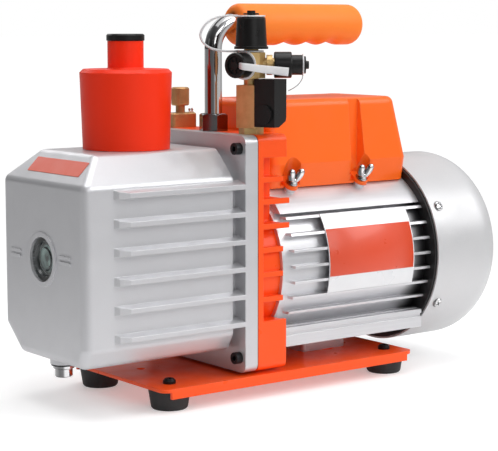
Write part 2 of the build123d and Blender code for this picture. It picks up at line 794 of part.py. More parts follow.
outer_recesses = cover_recesses(0)
inner_recesses = cover_recesses(cover_wall)
with BuildPart() as cover_room:
    add(cover_form(cover_wall))
    add(inner_recesses, mode=Mode.SUBTRACT)

with BuildPart() as top_cover:
    add(cover_form(0))
    add(outer_recesses, mode=Mode.SUBTRACT)
    with BuildSketch(Plane.XZ.offset(-panel_y)):
        with Locations(((switch_x + socket_x) / 2, panel_z)):
            RectangleRounded(68, 29, 4)
    extrude(amount=8)
    for x, side in wing_places:
        add(wing_rod(x, side, ear_r[0], ear_r[1], ear_radius))
        with BuildSketch(wing_plane(x, side, ear_r[0])):
            with Locations((0, -side * 5)):
                Rectangle(2 * ear_radius, 10)
        extrude(amount=ear_r[1] - ear_r[0])
    add(cover_room.part, mode=Mode.SUBTRACT)
    with BuildSketch(Plane.XZ.offset(-panel_y - 1)):
        with Locations((socket_x, panel_z)):
            Rectangle(socket_body[0] + 0.2, socket_body[1] + 0.2)
        with Locations((switch_x, panel_z)):
            Rectangle(switch_body[0] + 0.2, switch_body[1] + 0.2)
    extrude(amount=14, mode=Mode.SUBTRACT)
    # seat on the motor barrel and over the end shield
    with BuildSketch(across_shaft(cover_front_x - 1)):
        Circle(fin_radius - 0.5)
    extrude(amount=200, mode=Mode.SUBTRACT)
    with BuildSketch(across_shaft(housing_back_x - 0.3)):
        Circle(shield_rim + 0.3)
    extrude(amount=30, mode=Mode.SUBTRACT)
    for x, side in wing_places:
        add(wing_rod(x, side, 60, ear_r[0], wing_boss_radius + 0.5), mode=Mode.SUBTRACT)
        add(wing_rod(x, side, 60, 80, 2.6), mode=Mode.SUBTRACT)
save(top_cover.part, "top_cover")


def wing_screw(x, side, label):
    """A thumb screw: shank, collar and two rounded wings spread in a V along X."""
    lean = radians(wing_angle)
    out = Vector(0, side * cos(lean), sin(lean))
    flat = Plane(origin=(x, 0, shaft_z), x_dir=(1, 0, 0), z_dir=Vector(1, 0, 0).cross(out))
    root = ear_r[1] + 2.3
    with BuildPart() as screw:
        add(wing_rod(x, side, 64, ear_r[1], 2.4))
        add(wing_rod(x, side, ear_r[1], ear_r[1] + 2.6, 4.6))
        with BuildSketch(flat) as wings:
            with BuildLine():
                Polyline((-3.6, root), (-7.9, root + 7), (-7.6, root + 10.8), (-3.6, root + 10.8),
                         (0, root + 4), (3.6, root + 10.8), (7.6, root + 10.8),
                         (7.9, root + 7), (3.6, root), close=True)
            make_face()
            fillet(wings.vertices(), 1.2)
        extrude(amount=1.3, both=True)
    save(screw.part, label)


for number, (x, side) in enumerate(wing_places, start=1):
    wing_screw(x, side, f"wing_screw_{number}")

with BuildPart() as capacitors:
    for y in (-18.0, 8.0):
        with BuildSketch(across(2)):
            with Locations((y, 175)):
                Circle(12.5)
        extrude(amount=52)
        with BuildSketch(across(54)):
            with Locations((y - 4, 175), (y + 4, 175)):
                Rectangle(1, 6)
        extrude(amount=8)
save(capacitors.part, "capacitors")

# ---------------------------------------------------------------- switch and power inlet
with BuildPart() as power_inlet:
    with BuildSketch(Plane.XZ.offset(-panel_y)):
        with Locations((socket_x, panel_z)):
            RectangleRounded(31, 24, 3)
    extrude(amount=-2)
    with BuildSketch(Plane.XZ.offset(-panel_y)):
        with Locations((socket_x, panel_z)):
            Rectangle(*socket_body)
    extrude(amount=14)
    with BuildSketch(Plane.XZ.offset(-panel_y - 2)) as mouth:
        with Locations((socket_x, panel_z)):
            Rectangle(24.2, 16.6)
        chamfer(mouth.vertices().group_by(Axis.Z)[-1], 4)
    extrude(amount=13.5, mode=Mode.SUBTRACT)
    with BuildSketch(Plane.XZ.offset(-panel_y + 12)):
        with Locations((socket_x - 7, panel_z - 1), (socket_x + 7, panel_z - 1), (socket_x, panel_z + 3)):
            Rectangle(2, 4)
    extrude(amount=-7)
save(power_inlet.part, "power_inlet")

rocker_half = 9.2
rocker_y = 38.6
with BuildPart() as switch_bezel:
    with BuildSketch(Plane.XZ.offset(-panel_y)):
        with Locations((switch_x, panel_z)):
            RectangleRounded(26, 24, 2)
    extrude(amount=-2)
    with BuildSketch(Plane.XZ.offset(-panel_y)):
        with Locations((switch_x, panel_z)):
            Rectangle(*switch_body)
    extrude(amount=14)
    with BuildSketch(Plane.XZ.offset(-panel_y - 2)):
        with Locations((switch_x, panel_z)):
            Rectangle(16.4, 2 * rocker_half - 1.2)
    extrude(amount=13, mode=Mode.SUBTRACT)
save(switch_bezel.part, "switch_bezel")

rocker_tilt = 11.0              # it rests switched off, tipped this far from level
with BuildPart() as switch_rocker:
    tip = radians(rocker_tilt)
    with BuildSketch(Plane(origin=(switch_x - 7.9, rocker_y, panel_z),
                           x_dir=(0, cos(tip), sin(tip)), z_dir=(1, 0, 0))):
        with BuildLine():
            Polyline((4.4, -7.0), (-3.5, -6.0), (-3.5, 6.0), (4.4, 7.0))
            ThreePointArc((4.4, 7.0), (3.1, 0), (4.4, -7.0))
        make_face()
    extrude(amount=15.8)
save(switch_rocker.part, "switch_rocker")

# ---------------------------------------------------------------- carry handle
tube_radius = 6.5
tube_bend = 20.0
grip_x = (-26.0, 94.0)
grip_z = 269.85
grip_radius = 15.65
handle_plane = Plane(origin=(0, 0, 0), x_dir=(1, 0, 0), z_dir=(0, -1, 0))

with BuildLine(handle_plane) as handle_path:
    Line((handle_x, deck_z), (handle_x, handle_axis_z - tube_bend))
    RadiusArc((handle_x, handle_axis_z - tube_bend), (handle_x + tube_bend, handle_axis_z), tube_bend)
    Line((handle_x + tube_bend, handle_axis_z), (grip_x[1] - 6, handle_axis_z))


def handle_rod(outer, inner):
    """The bent handle as a tube, or as a solid rod when inner is 0."""
    with BuildPart() as rod:
        with BuildSketch(Plane.XY.offset(deck_z)):
            with Locations((handle_x, 0)):
                Circle(outer)
                if inner:
                    Circle(inner, mode=Mode.SUBTRACT)
        sweep(path=handle_path.line)
    return rod.part


with BuildPart() as handle_tube:
    add(handle_rod(tube_radius, tube_radius - 1.8))
    with BuildSketch(Plane.XY.offset(deck_z - 13)):
        with Locations((handle_x, 0)):
            Circle(stud_radius)
    extrude(amount=18)
save(handle_tube.part, "handle_tube")

with BuildPart() as handle_nut:
    with BuildSketch(Plane.XY.offset(deck_z)):
        with Locations((handle_x, 0)):
            RegularPolygon(19 / 2, 6, major_radius=False, rotation=8)
            Circle(tube_radius + 0.02, mode=Mode.SUBTRACT)
    extrude(amount=12.9)
    with BuildSketch(handle_plane):
        with BuildLine():
            Polyline((handle_x, deck_z), (handle_x + 12, deck_z), (handle_x + 12, deck_z + 11),
                     (handle_x + 9.3, deck_z + 12.9), (handle_x, deck_z + 12.9), close=True)
        make_face()
    revolve(axis=Axis((handle_x, 0, 0), (0, 0, 1)), mode=Mode.INTERSECT)
save(handle_nut.part, "handle_nut")

finger_dips = (22.0, 44.0, 64.0)
dip_radius = 16.0
with BuildPart() as handle_grip:
    with BuildSketch(handle_plane) as grip_side:
        with BuildLine():
            Polyline((grip_x[0], grip_z), (grip_x[0], grip_z + grip_radius - 4),
                     (grip_x[0] + 7, grip_z + grip_radius), (grip_x[1] - 7, grip_z + grip_radius),
                     (grip_x[1], grip_z + grip_radius - 7), (grip_x[1], grip_z), close=True)
        make_face()
        fillet(grip_side.vertices().filter_by_position(Axis.Z, grip_z + 2, grip_z + 30), 5)
    revolve(axis=Axis((0, 0, grip_z), (1, 0, 0)))
    with BuildSketch(handle_plane):
        with Locations(*[(x, grip_z - grip_radius + 2.2 - dip_radius) for x in finger_dips]):
            Circle(dip_radius)
    extrude(amount=20, both=True, mode=Mode.SUBTRACT)
    add(handle_rod(tube_radius + 0.02, 0), mode=Mode.SUBTRACT)
save(handle_grip.part, "handle_grip")

# ---------------------------------------------------------------- gas ballast valve
bx, by = ballast_place
ballast_axis = Axis((bx, by, 0), (0, 0, 1))
ballast_plane = Plane(origin=(bx, by, 0), x_dir=(1, 0, 0), z_dir=(0, -1, 0))
ballast_neck_z = 202.5
ballast_cap_z = (208.0, 222.0)

with BuildPart() as ballast_valve_body:
    with BuildSketch(Plane.XY.offset(deck_z)):
        with Locations(ballast_place):
            RectangleRounded(22, 14, 2)
    extrude(amount=ballast_neck_z - deck_z)
    chamfer(ballast_valve_body.edges().group_by(Axis.Z)[-1], 1)
    with BuildSketch(ballast_plane):
        with BuildLine():
            Polyline((0, deck_z - 12), (stud_radius, deck_z - 12), (stud_radius, deck_z + 1),
                     (3.6, deck_z + 2), (3.6, ballast_cap_z[0] + 9), (0, ballast_cap_z[0] + 9),
                     close=True)
        make_face()
    revolve(axis=ballast_axis)
save(ballast_valve_body.part, "ballast_valve_body")

with BuildPart() as ballast_knob:
    with BuildSketch(ballast_plane):
        with BuildLine():
            Polyline((3.65, ballast_cap_z[0]), (6.2, ballast_cap_z[0]), (6.9, ballast_cap_z[0] + 1),
                     (6.9, ballast_cap_z[1] - 1), (6.0, ballast_cap_z[1]), (0, ballast_cap_z[1]),
                     (0, ballast_cap_z[0] + 9.5), (3.65, ballast_cap_z[0] + 9.5), close=True)
        make_face()
    revolve(axis=ballast_axis)
    with BuildSketch(Plane.XY.offset(ballast_cap_z[0] + 1.5)):
        with Locations(ballast_place):
            with PolarLocations(7.1, 28):
                Circle(0.45)
    extrude(amount=ballast_cap_z[1] - ballast_cap_z[0] - 3, mode=Mode.SUBTRACT)
save(ballast_knob.part, "ballast_knob")

# ---------------------------------------------------------------- inlet valve and its caps
ix, iy = inlet_place
hub = Vector(ix, iy, port_z)
side_turn = -36.0               # heading of the side port, from +X
front_turn = -161.0             # heading of the front port; the column stands square to it
column_half = 7.8
column_z = (196.0, 226.7)
hub_radius = 10.3
hub_z = (231.5, 250.0)


def heading(turn):
    """Level unit vector at an angle from +X."""
    return Vector(cos(radians(turn)), sin(radians(turn)), 0)


def turned(direction, points):
    """Revolve an (axial, radial) outline about a line out of the hub."""
    normal = direction.cross(Vector(0, 0, 1)) if abs(direction.Z) < 0.5 else Vector(0, -1, 0)
    with BuildPart() as body:
        with BuildSketch(Plane(origin=hub, x_dir=direction, z_dir=normal)):
            with BuildLine():
                Polyline(*points, close=True)
            make_face()
        revolve(axis=Axis(hub, direction))
    return body.part


up = Vector(0, 0, 1)
side_way = heading(side_turn)
front_way = heading(front_turn)

with BuildPart() as inlet_valve_body:
    with BuildSketch(Plane.XY.offset(deck_z - 12)):
        with Locations(inlet_place):
            Circle(stud_radius)
    extrude(amount=column_z[0] - deck_z + 12)
    with BuildSketch(Plane.XY.offset(deck_z)):
        with Locations(inlet_place):
            RegularPolygon(9.0, 6, rotation=front_turn)
    extrude(amount=column_z[0] - deck_z)
    with BuildSketch(Plane.XY.offset(column_z[0])):
        with Locations(inlet_place):
            Rectangle(2 * column_half, 2 * column_half, rotation=front_turn)
    extrude(amount=column_z[1] - column_z[0])
    with BuildSketch(Plane.XY.offset(column_z[1])):
        with Locations(inlet_place):
            Circle(5.4)
    extrude(amount=hub_z[0] - column_z[1])
    with BuildSketch(Plane.XY.offset(hub_z[0])):
        with Locations(inlet_place):
            RegularPolygon(hub_radius, 8, rotation=front_turn + 22.5)
    extrude(amount=hub_z[1] - hub_z[0])
    add(turned(up, [(0, 0), (0, 5.2), (13.5, 5.2), (13.5, 6.2), (25, 6.2), (25.5, 5.4), (25.5, 0)]))
    add(turned(front_way, [(0, 0), (0, 5.0), (17, 5.0), (17.5, 4.4), (17.5, 0)]))
    add(turned(side_way, [(0, 0), (0, 5.0), (11, 5.0), (11, 7.3), (15.2, 7.3), (15.2, 5.0),
                          (26, 5.0), (26.5, 4.4), (26.5, 0)]))
    add(turned(up, [(-2, 0), (-2, 3.2), (26, 3.2), (26, 0)]), mode=Mode.SUBTRACT)
    add(turned(front_way, [(0, 0), (0, 2.4), (18, 2.4), (18, 0)]), mode=Mode.SUBTRACT)
    add(turned(side_way, [(0, 0), (0, 2.8), (27, 2.8), (27, 0)]), mode=Mode.SUBTRACT)
    with BuildSketch(Plane.XY.offset(deck_z - 13)):
        with Locations(inlet_place):
            Circle(3.0)
    extrude(amount=port_z - deck_z + 13, mode=Mode.SUBTRACT)
save(inlet_valve_body.part, "inlet_valve_body")

save(turned(up, [(11.4, 6.3), (11.4, 12.3), (13.2, 12.3), (13.4, 11.4), (33.2, 10.3), (34.2, 9.4),
                 (34.2, 3.1), (35.8, 3.1), (35.8, 5.6), (37.0, 5.6), (37.0, 3.1), (38.8, 3.0),
                 (38.8, 0), (27, 0), (27, 6.3)]), "top_cap")
save(turned(front_way, [(10.0, 5.1), (10.0, 9.1), (20.5, 9.1), (21.5, 8.3), (21.5, 6.6), (19.6, 6.1),
                        (19.6, 2.6), (21.2, 2.6), (21.2, 0), (18.5, 0), (18.5, 5.1)]), "front_cap")
save(turned(side_way, [(16.4, 5.1), (16.4, 8.9), (17.0, 9.45), (28.4, 9.45), (29.0, 8.9),
                       (29.2, 7.2), (36.6, 7.2), (36.6, 3.0), (37.9, 3.0), (37.9, 6.2),
                       (39.2, 6.2), (39.2, 3.0), (41.5, 2.8), (41.5, 0), (27, 0), (27, 5.1)]),
     "side_cap")

# moulded straps that keep the caps: a ring on each cap and a strap bent back to its port
strap = 1.1


def strap_along(points, bends, thickness):
    """A round strap through points in space, with rounded corners."""
    with BuildPart() as band:
        with BuildLine() as route:
            FilletPolyline(*points, radius=bends)
        with BuildSketch(Plane(origin=route.line @ 0, z_dir=route.line % 0)):
            Circle(thickness / 2)
        sweep(path=route.line)
    return band.part


def from_hub(along, reach, aside, offset, lift):
    """A point near the hub: reach along one heading, offset along another, lifted up."""
    return hub + along * reach + aside * offset + up * lift


left_way = heading(150.0)
with BuildPart() as top_cap_tether:
    add(turned(up, [(34.3, 3.2), (34.3, 9.8), (35.3, 9.8), (35.3, 3.2)]))
    add(strap_along([from_hub(left_way, 9.3, up, 0, 34.8), from_hub(left_way, 22, up, 0, 34.0),
                     from_hub(left_way, 33, up, 0, 29.5), from_hub(left_way, 37, up, 0, 20.5),
                     from_hub(left_way, 31, up, 0, 13.0), from_hub(left_way, 20, up, 0, 9.8),
                     from_hub(left_way, 9.5, up, 0, 9.6)], 5.0, strap))
save(top_cap_tether.part, "top_cap_tether")

near_way = heading(side_turn - 90)
face_way = heading(front_turn + 90)
with BuildPart() as front_cap_tether:
    add(turned(front_way, [(19.7, 2.7), (19.7, 5.4), (20.7, 5.4), (20.7, 2.7)]))
    add(strap_along([from_hub(front_way, 20.5, face_way, 3.9, 0),
                     from_hub(front_way, 25.0, face_way, 8.0, -0.4),
                     from_hub(side_way, 3.0, near_way, 21.5, -1.8),
                     from_hub(side_way, 12.0, near_way, 17.0, -3.2),
                     from_hub(side_way, 25.5, near_way, 12.5, -4.6)], 1.2, 2 * strap))
save(front_cap_tether.part, "front_cap_tether")

with BuildPart() as side_cap_tether:
    add(turned(side_way, [(36.7, 3.1), (36.7, 8.0), (37.7, 8.0), (37.7, 3.1)]))
    add(strap_along([from_hub(side_way, 37.2, near_way, 2.0, -7.6),
                     from_hub(side_way, 37.0, near_way, 1.0, -13.5),
                     from_hub(side_way, 33.6, near_way, 0, -19.0)], 3.0, strap))
save(side_cap_tether.part, "side_cap_tether")

# ---------------------------------------------------------------- solenoid valve
coil_z = (197.0, 231.2)
coil_reach = (7.9, 25.0)        # squarely out of the column's near side, from its axis
coil_half = 8.0
coil_way = face_way
coil_centre = Vector(ix, iy, 0) + coil_way * (sum(coil_reach) / 2)
plunger_radius = 4.6
plunger_z = (200.5, 220.0)

with BuildPart() as solenoid_coil:
    with BuildSketch(Plane(origin=Vector(ix, iy, 0) + coil_way * coil_reach[0],
                           x_dir=front_way * -1, z_dir=coil_way)):
        with BuildLine():
            Polyline((-coil_half, coil_z[0]), (coil_half - 10, coil_z[0]),
                     (coil_half - 1, coil_z[0] + 4), (coil_half, coil_z[0] + 7),
                     (coil_half, coil_z[1]), (-coil_half, coil_z[1]), close=True)
        make_face()
    extrude(amount=coil_reach[1] - coil_reach[0])
    with BuildSketch(Plane(origin=coil_centre + front_way * coil_half + up * 206,
                           x_dir=coil_way, z_dir=front_way)):
        Circle(6.8)
    extrude(amount=2.0)
    with BuildSketch(Plane.XY.offset(plunger_z[0] - 0.5)):
        with Locations((coil_centre.X, coil_centre.Y)):
            Circle(plunger_radius + 0.2)
    extrude(amount=plunger_z[1] + 5 - plunger_z[0], mode=Mode.SUBTRACT)
save(solenoid_coil.part, "solenoid_coil")

with BuildPart() as solenoid_plunger:
    with BuildSketch(Plane.XY.offset(plunger_z[0])):
        with Locations((coil_centre.X, coil_centre.Y)):
            Circle(plunger_radius)
    extrude(amount=plunger_z[1] - plunger_z[0])
    chamfer(solenoid_plunger.edges().group_by(Axis.Z)[-1], 1.2)
save(solenoid_plunger.part, "solenoid_plunger")
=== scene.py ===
"""Looks of the two-stage rotary vane vacuum pump, built around its CAD frame.

Metres, in the CAD's own frame: X runs from the oil tank (-X) to the fan cover (+X), the
inlet ports are on the -Y side, Z is up and the rubber feet stand on Z = 0.
"""

from math import cos, pi, radians, sin, sqrt

import bmesh
import bpy
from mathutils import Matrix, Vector


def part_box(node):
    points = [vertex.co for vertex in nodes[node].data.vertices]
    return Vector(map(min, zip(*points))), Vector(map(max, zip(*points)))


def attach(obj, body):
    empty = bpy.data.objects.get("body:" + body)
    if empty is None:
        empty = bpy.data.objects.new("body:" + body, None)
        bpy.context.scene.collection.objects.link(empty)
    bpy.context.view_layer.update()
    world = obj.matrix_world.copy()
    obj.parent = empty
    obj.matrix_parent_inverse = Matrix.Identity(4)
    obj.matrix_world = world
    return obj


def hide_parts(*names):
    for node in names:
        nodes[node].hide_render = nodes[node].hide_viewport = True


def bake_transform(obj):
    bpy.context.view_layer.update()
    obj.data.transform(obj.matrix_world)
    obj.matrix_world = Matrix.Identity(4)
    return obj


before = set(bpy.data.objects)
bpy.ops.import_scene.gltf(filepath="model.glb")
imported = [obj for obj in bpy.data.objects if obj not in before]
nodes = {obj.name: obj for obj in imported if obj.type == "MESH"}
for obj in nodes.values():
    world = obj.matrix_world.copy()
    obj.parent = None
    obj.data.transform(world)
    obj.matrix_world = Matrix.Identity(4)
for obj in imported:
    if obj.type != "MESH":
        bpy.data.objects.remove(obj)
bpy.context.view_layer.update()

MM = 0.001
SHAFT_Z = 91 * MM


# ---------------------------------------------------------------- node graphs
class Finish:
    """One material's node graph, with short calls for its parts."""

    def __init__(self, name):
        self.material = bpy.data.materials.new(name)
        self.material.use_nodes = True
        self.nodes = self.material.node_tree.nodes
        self.links = self.material.node_tree.links
        self.nodes.clear()
        self.place = self.add("ShaderNodeTexCoord").outputs["Object"]
        self.shader = self.add("ShaderNodeBsdfPrincipled")
        output = self.add("ShaderNodeOutputMaterial")
        self.links.new(self.shader.outputs["BSDF"], output.inputs["Surface"])

    def add(self, kind, **settings):
        node = self.nodes.new(kind)
        for key, value in settings.items():
            setattr(node, key, value)
        return node

    def feed(self, socket, value):
        """Link a socket, or set its constant."""
        if isinstance(value, bpy.types.NodeSocket):
            self.links.new(value, socket)
        elif isinstance(value, (tuple, list)) and socket.type == "RGBA":
            socket.default_value = (*value[:3], 1.0)
        else:
            socket.default_value = value

    def set(self, **values):
        """Feed the shader's sockets, named with _ for spaces."""
        for key, value in values.items():
            self.feed(self.shader.inputs[key.replace("_", " ")], value)

    def maths(self, operation, a, b=0.0, clamp=False):
        """One arithmetic step on numbers or sockets."""
        node = self.add("ShaderNodeMath", operation=operation, use_clamp=clamp)
        self.feed(node.inputs[0], a)
        self.feed(node.inputs[1], b)
        return node.outputs[0]

    def axis(self, index):
        """One object coordinate, in metres."""
        split = self.add("ShaderNodeSeparateXYZ")
        self.feed(split.inputs[0], self.place)
        return split.outputs[index]

    def reach(self, a, b):
        """Length of the sides a and b set square to each other."""
        squares = self.maths("ADD", self.maths("POWER", a, 2.0), self.maths("POWER", b, 2.0))
        return self.maths("SQRT", squares)

    def noise(self, scale, detail=3.0, stretch=(1, 1, 1), lumpy=0.55):
        """Noise with `scale` features per metre, drawn out by `stretch`."""
        mapping = self.add("ShaderNodeMapping")
        self.feed(mapping.inputs["Vector"], self.place)
        mapping.inputs["Scale"].default_value = stretch
        node = self.add("ShaderNodeTexNoise")
        self.feed(node.inputs["Vector"], mapping.outputs[0])
        self.feed(node.inputs["Scale"], scale)
        self.feed(node.inputs["Detail"], detail)
        self.feed(node.inputs["Roughness"], lumpy)
        return node.outputs["Fac"]

    def span(self, value, low, high, out_low=0.0, out_high=1.0, smooth=False):
        """Carry low..high over to out_low..out_high, held at both ends."""
        node = self.add("ShaderNodeMapRange", interpolation_type="SMOOTHSTEP" if smooth else "LINEAR")
        for socket, given in zip(node.inputs[:5], (value, low, high, out_low, out_high)):
            self.feed(socket, given)
        return node.outputs[0]

    def mix(self, factor, a, b):
        """Colour a where the factor is 0, colour b where it is 1."""
        node = self.add("ShaderNodeMix", data_type="RGBA")
        self.feed(node.inputs[0], factor)
        self.feed(node.inputs[6], a)
        self.feed(node.inputs[7], b)
        return node.outputs[2]

    def rounded(self, radius):
        """The surface normal with its edges rounded off."""
        node = self.add("ShaderNodeBevel", samples=4)
        self.feed(node.inputs["Radius"], radius)
        return node.outputs["Normal"]

    def edges(self, radius):
        """1 along sharp edges, 0 on flats."""
        flat = self.add("ShaderNodeNewGeometry").outputs["Normal"]
        dot = self.add("ShaderNodeVectorMath", operation="DOT_PRODUCT")
        self.feed(dot.inputs[0], self.rounded(radius))
        self.feed(dot.inputs[1], flat)
        return self.span(dot.outputs["Value"], 0.995, 0.86)

    def relief(self, height, depth, normal=None):
        """Bump by a 0..1 height times a depth in metres."""
        node = self.add("ShaderNodeBump")
        self.feed(node.inputs["Height"], height)
        self.feed(node.inputs["Distance"], depth)
        if normal is not None:
            self.feed(node.inputs["Normal"], normal)
        return node.outputs[0]


def shade(colour, factor):
    """A colour made lighter or darker."""
    return tuple(min(1.0, c * factor) for c in colour)


def fill_ramp(ramp, tones):
    """Give a colour ramp its (place, brightness) stops, in a slightly cool grey."""
    elements = ramp.color_ramp.elements
    while len(elements) < len(tones):
        elements.new(1.0)
    for element, (place, tone) in zip(elements, tones):
        element.position = place
        element.color = (tone, tone, tone * 1.01, 1)


def surface(name, colour, roughness, metallic=0.0, mottle=0.05, grain=(1400, 0.04), smudge=0.08,
            edge=None, edge_radius=0.5, drawn=(1, 1, 1), **sockets):
    """A solid finish with tone variation, fine grain, uneven gloss and softened edges, lightened in
    patches by a painted edge highlight.

    grain is (features per metre, depth in mm); edge is (colour, amount) of the painted edge highlight."""
    look = Finish(name)
    tone = look.noise(26, 3.0, drawn)
    base = look.mix(tone, shade(colour, 1 - mottle), shade(colour, 1 + mottle))
    fine = look.noise(grain[0], 2.0, drawn)
    base = look.mix(look.span(fine, 0.35, 0.75, 0.0, 0.5), base, shade(colour, 1 - 1.6 * mottle))
    if edge:
        # Painted highlight: sharp edges are lightened toward the edge colour, in patches.
        edge_highlight = look.maths("MULTIPLY", look.edges(edge_radius * MM), look.span(look.noise(160), 0.3, 0.7))
        base = look.mix(look.maths("MULTIPLY", edge_highlight, edge[1]), base, edge[0])
    blotch = look.noise(70, 4.0, drawn)
    rough = look.span(blotch, 0.3, 0.7, max(0.02, roughness - smudge), roughness + smudge)
    bump = look.relief(fine, grain[1] * MM, look.rounded(edge_radius * MM))
    look.set(Base_Color=base, Metallic=metallic, Roughness=rough, Normal=bump, **sockets)
    return look.material


# ---------------------------------------------------------------- materials
def brass(name, colour, tarnish):
    """Turned brass: warm metal with darker patches and fine tool lines."""
    look = Finish(name)
    patch = look.span(look.noise(90, 4.0), 0.45, 0.75)
    base = look.mix(patch, colour, tarnish)
    # Painted highlight: the sharp edges are lightened.
    brass_edge_highlight = look.edges(0.4 * MM)
    base = look.mix(look.maths("MULTIPLY", brass_edge_highlight, 0.6), base, shade(colour, 1.35))
    lines = look.noise(2600, 2.0, (0.12, 0.12, 1))
    rough = look.span(look.noise(240, 3.0), 0.3, 0.7, 0.34, 0.46)
    bump = look.relief(lines, 0.006 * MM, look.rounded(0.35 * MM))
    look.set(Base_Color=base, Metallic=0.6, Roughness=rough, Normal=bump)
    return look.material


def chrome(name, tones, radius=0.3):
    """Polished plating with wipe marks, hairlines and painted reflections: soft dark bands, laid out by
    which way the surface faces, stand in for a studio's flags.

    tones are (facing, brightness) pairs of the painted reflection; facing runs from -1 on the -X +Y side
    to 1 opposite."""
    look = Finish(name)
    haze = look.noise(55, 4.0)
    hair = look.noise(3200, 1.0, (1, 1, 0.03))
    # Painted reflection: the base colour follows which way the surface faces.
    facing = look.add("ShaderNodeVectorMath", operation="DOT_PRODUCT")
    look.feed(facing.inputs[0], look.add("ShaderNodeNewGeometry").outputs["Normal"])
    facing.inputs[1].default_value = BRIGHT_SIDE
    ramp = look.add("ShaderNodeValToRGB")
    look.feed(ramp.inputs[0], look.span(facing.outputs["Value"], -1.0, 1.0))
    fill_ramp(ramp, [((place + 1) / 2, tone) for place, tone in tones])
    base = look.mix(look.maths("MULTIPLY", haze, 0.2), ramp.outputs[0], (0.7, 0.7, 0.71))
    rough = look.span(haze, 0.35, 0.7, 0.06, 0.14)
    bump = look.relief(hair, 0.004 * MM, look.rounded(radius * MM))
    look.set(Base_Color=base, Metallic=1.0, Roughness=rough, Normal=bump)
    return look.material


def drawn_aluminium(name):
    """Bright extruded fins with long drawing lines and slight oxide streaks.

    The gaps between the fins are painted nearly black toward the fan cover, a painted shade; the fin edges
    carry a painted highlight."""
    look = Finish(name)
    along = (0.03, 1, 1)
    streak = look.noise(420, 4.0, along)
    lines = look.noise(2400, 2.0, along)
    base = look.mix(streak, (0.60, 0.60, 0.62), (0.74, 0.74, 0.76))
    # Painted highlight on the fin edges.
    base = look.mix(look.edges(0.35 * MM), base, (0.92, 0.92, 0.93))
    # Painted shade: the gaps between the fins darken toward the fan cover.
    reach = look.reach(look.axis(1), look.maths("SUBTRACT", look.axis(2), SHAFT_Z))
    between_fins = look.span(reach, 67 * MM, 64 * MM)
    near_cover = look.span(look.axis(0), 93 * MM, 114 * MM, smooth=True)
    base = look.mix(look.maths("MULTIPLY", between_fins, near_cover), base, (0.03, 0.03, 0.032))
    rough = look.span(streak, 0.3, 0.7, 0.34, 0.46)
    bump = look.relief(lines, 0.01 * MM, look.rounded(0.4 * MM))
    look.set(Base_Color=base, Metallic=0.7, Roughness=rough, Normal=bump)
    return look.material


def clear_lens(name):
    """Thick moulded sight glass, faintly green, with shallow ripples."""
    look = Finish(name)
    tint = look.mix(look.noise(60), (0.72, 0.82, 0.80), (0.86, 0.92, 0.90))
    bump = look.relief(look.noise(120, 2.0), 0.05 * MM)
    look.set(Base_Color=tint, Roughness=look.span(look.noise(300), 0.3, 0.7, 0.0, 0.05),
             Transmission_Weight=1.0, IOR=1.5, Normal=bump)
    return look.material


def lens_back(name, centre_z):
    """Reflector behind the sight glass: rings of grey-green metal round a dark centre spot."""
    look = Finish(name)
    reach = look.reach(look.maths("SUBTRACT", look.axis(2), centre_z), look.axis(1))
    outside_spot = look.span(reach, 1.6 * MM, 2.3 * MM, smooth=True)
    rim = look.span(reach, 8.6 * MM, 10.2 * MM, smooth=True)
    metal = look.mix(look.noise(300, 3.0), (0.30, 0.37, 0.36), (0.42, 0.50, 0.49))
    base = look.mix(outside_spot, (0.02, 0.025, 0.025), metal)
    base = look.mix(rim, base, (0.015, 0.018, 0.018))
    rings = look.maths("SINE", look.maths("MULTIPLY", reach, 5200.0))
    bump = look.relief(rings, 0.03 * MM)
    look.set(Base_Color=base, Metallic=look.maths("MULTIPLY", outside_spot, 0.8), Roughness=0.28,
             Normal=bump)
    return look.material


def layered(name, colour_a, colour_b, per_metre, along, roughness, metallic, depth):
    """Bands across one axis, for laminations and wound wire."""
    look = Finish(name)
    wave = look.maths("SINE", look.maths("MULTIPLY", look.axis(along), 2 * pi * per_metre))
    tone = look.span(wave, -1.0, 1.0)
    wander = look.maths("MULTIPLY", look.noise(180, 3.0), 0.5)
    base = look.mix(look.maths("ADD", look.maths("MULTIPLY", tone, 0.6), wander, True), colour_a, colour_b)
    bump = look.relief(tone, depth * MM)
    look.set(Base_Color=base, Metallic=metallic, Roughness=roughness, Normal=bump)
    return look.material


def felt(name):
    """Pressed fibre of the exhaust filter."""
    look = Finish(name)
    fibre = look.noise(1800, 5.0, (1, 1, 0.3), 0.8)
    base = look.mix(fibre, (0.62, 0.58, 0.47), (0.86, 0.83, 0.75))
    look.set(Base_Color=base, Roughness=0.95, Sheen_Weight=0.4, Normal=look.relief(fibre, 0.25 * MM))
    return look.material


def printed_plate(name):
    """Satin white-silver film of the rating plate, over a faint print grain."""
    look = Finish(name)
    tone = look.noise(30, 3.0)
    speck = look.noise(2200, 2.0)
    base = look.mix(tone, (0.70, 0.71, 0.73), (0.80, 0.81, 0.82))
    base = look.mix(look.span(speck, 0.62, 0.8, 0.0, 0.25), base, (0.60, 0.61, 0.63))
    look.set(Base_Color=base, Metallic=0.12, Roughness=look.span(tone, 0.3, 0.7, 0.24, 0.34),
             Coat_Weight=0.3, Coat_Roughness=0.12, Normal=look.relief(speck, 0.012 * MM))
    return look.material
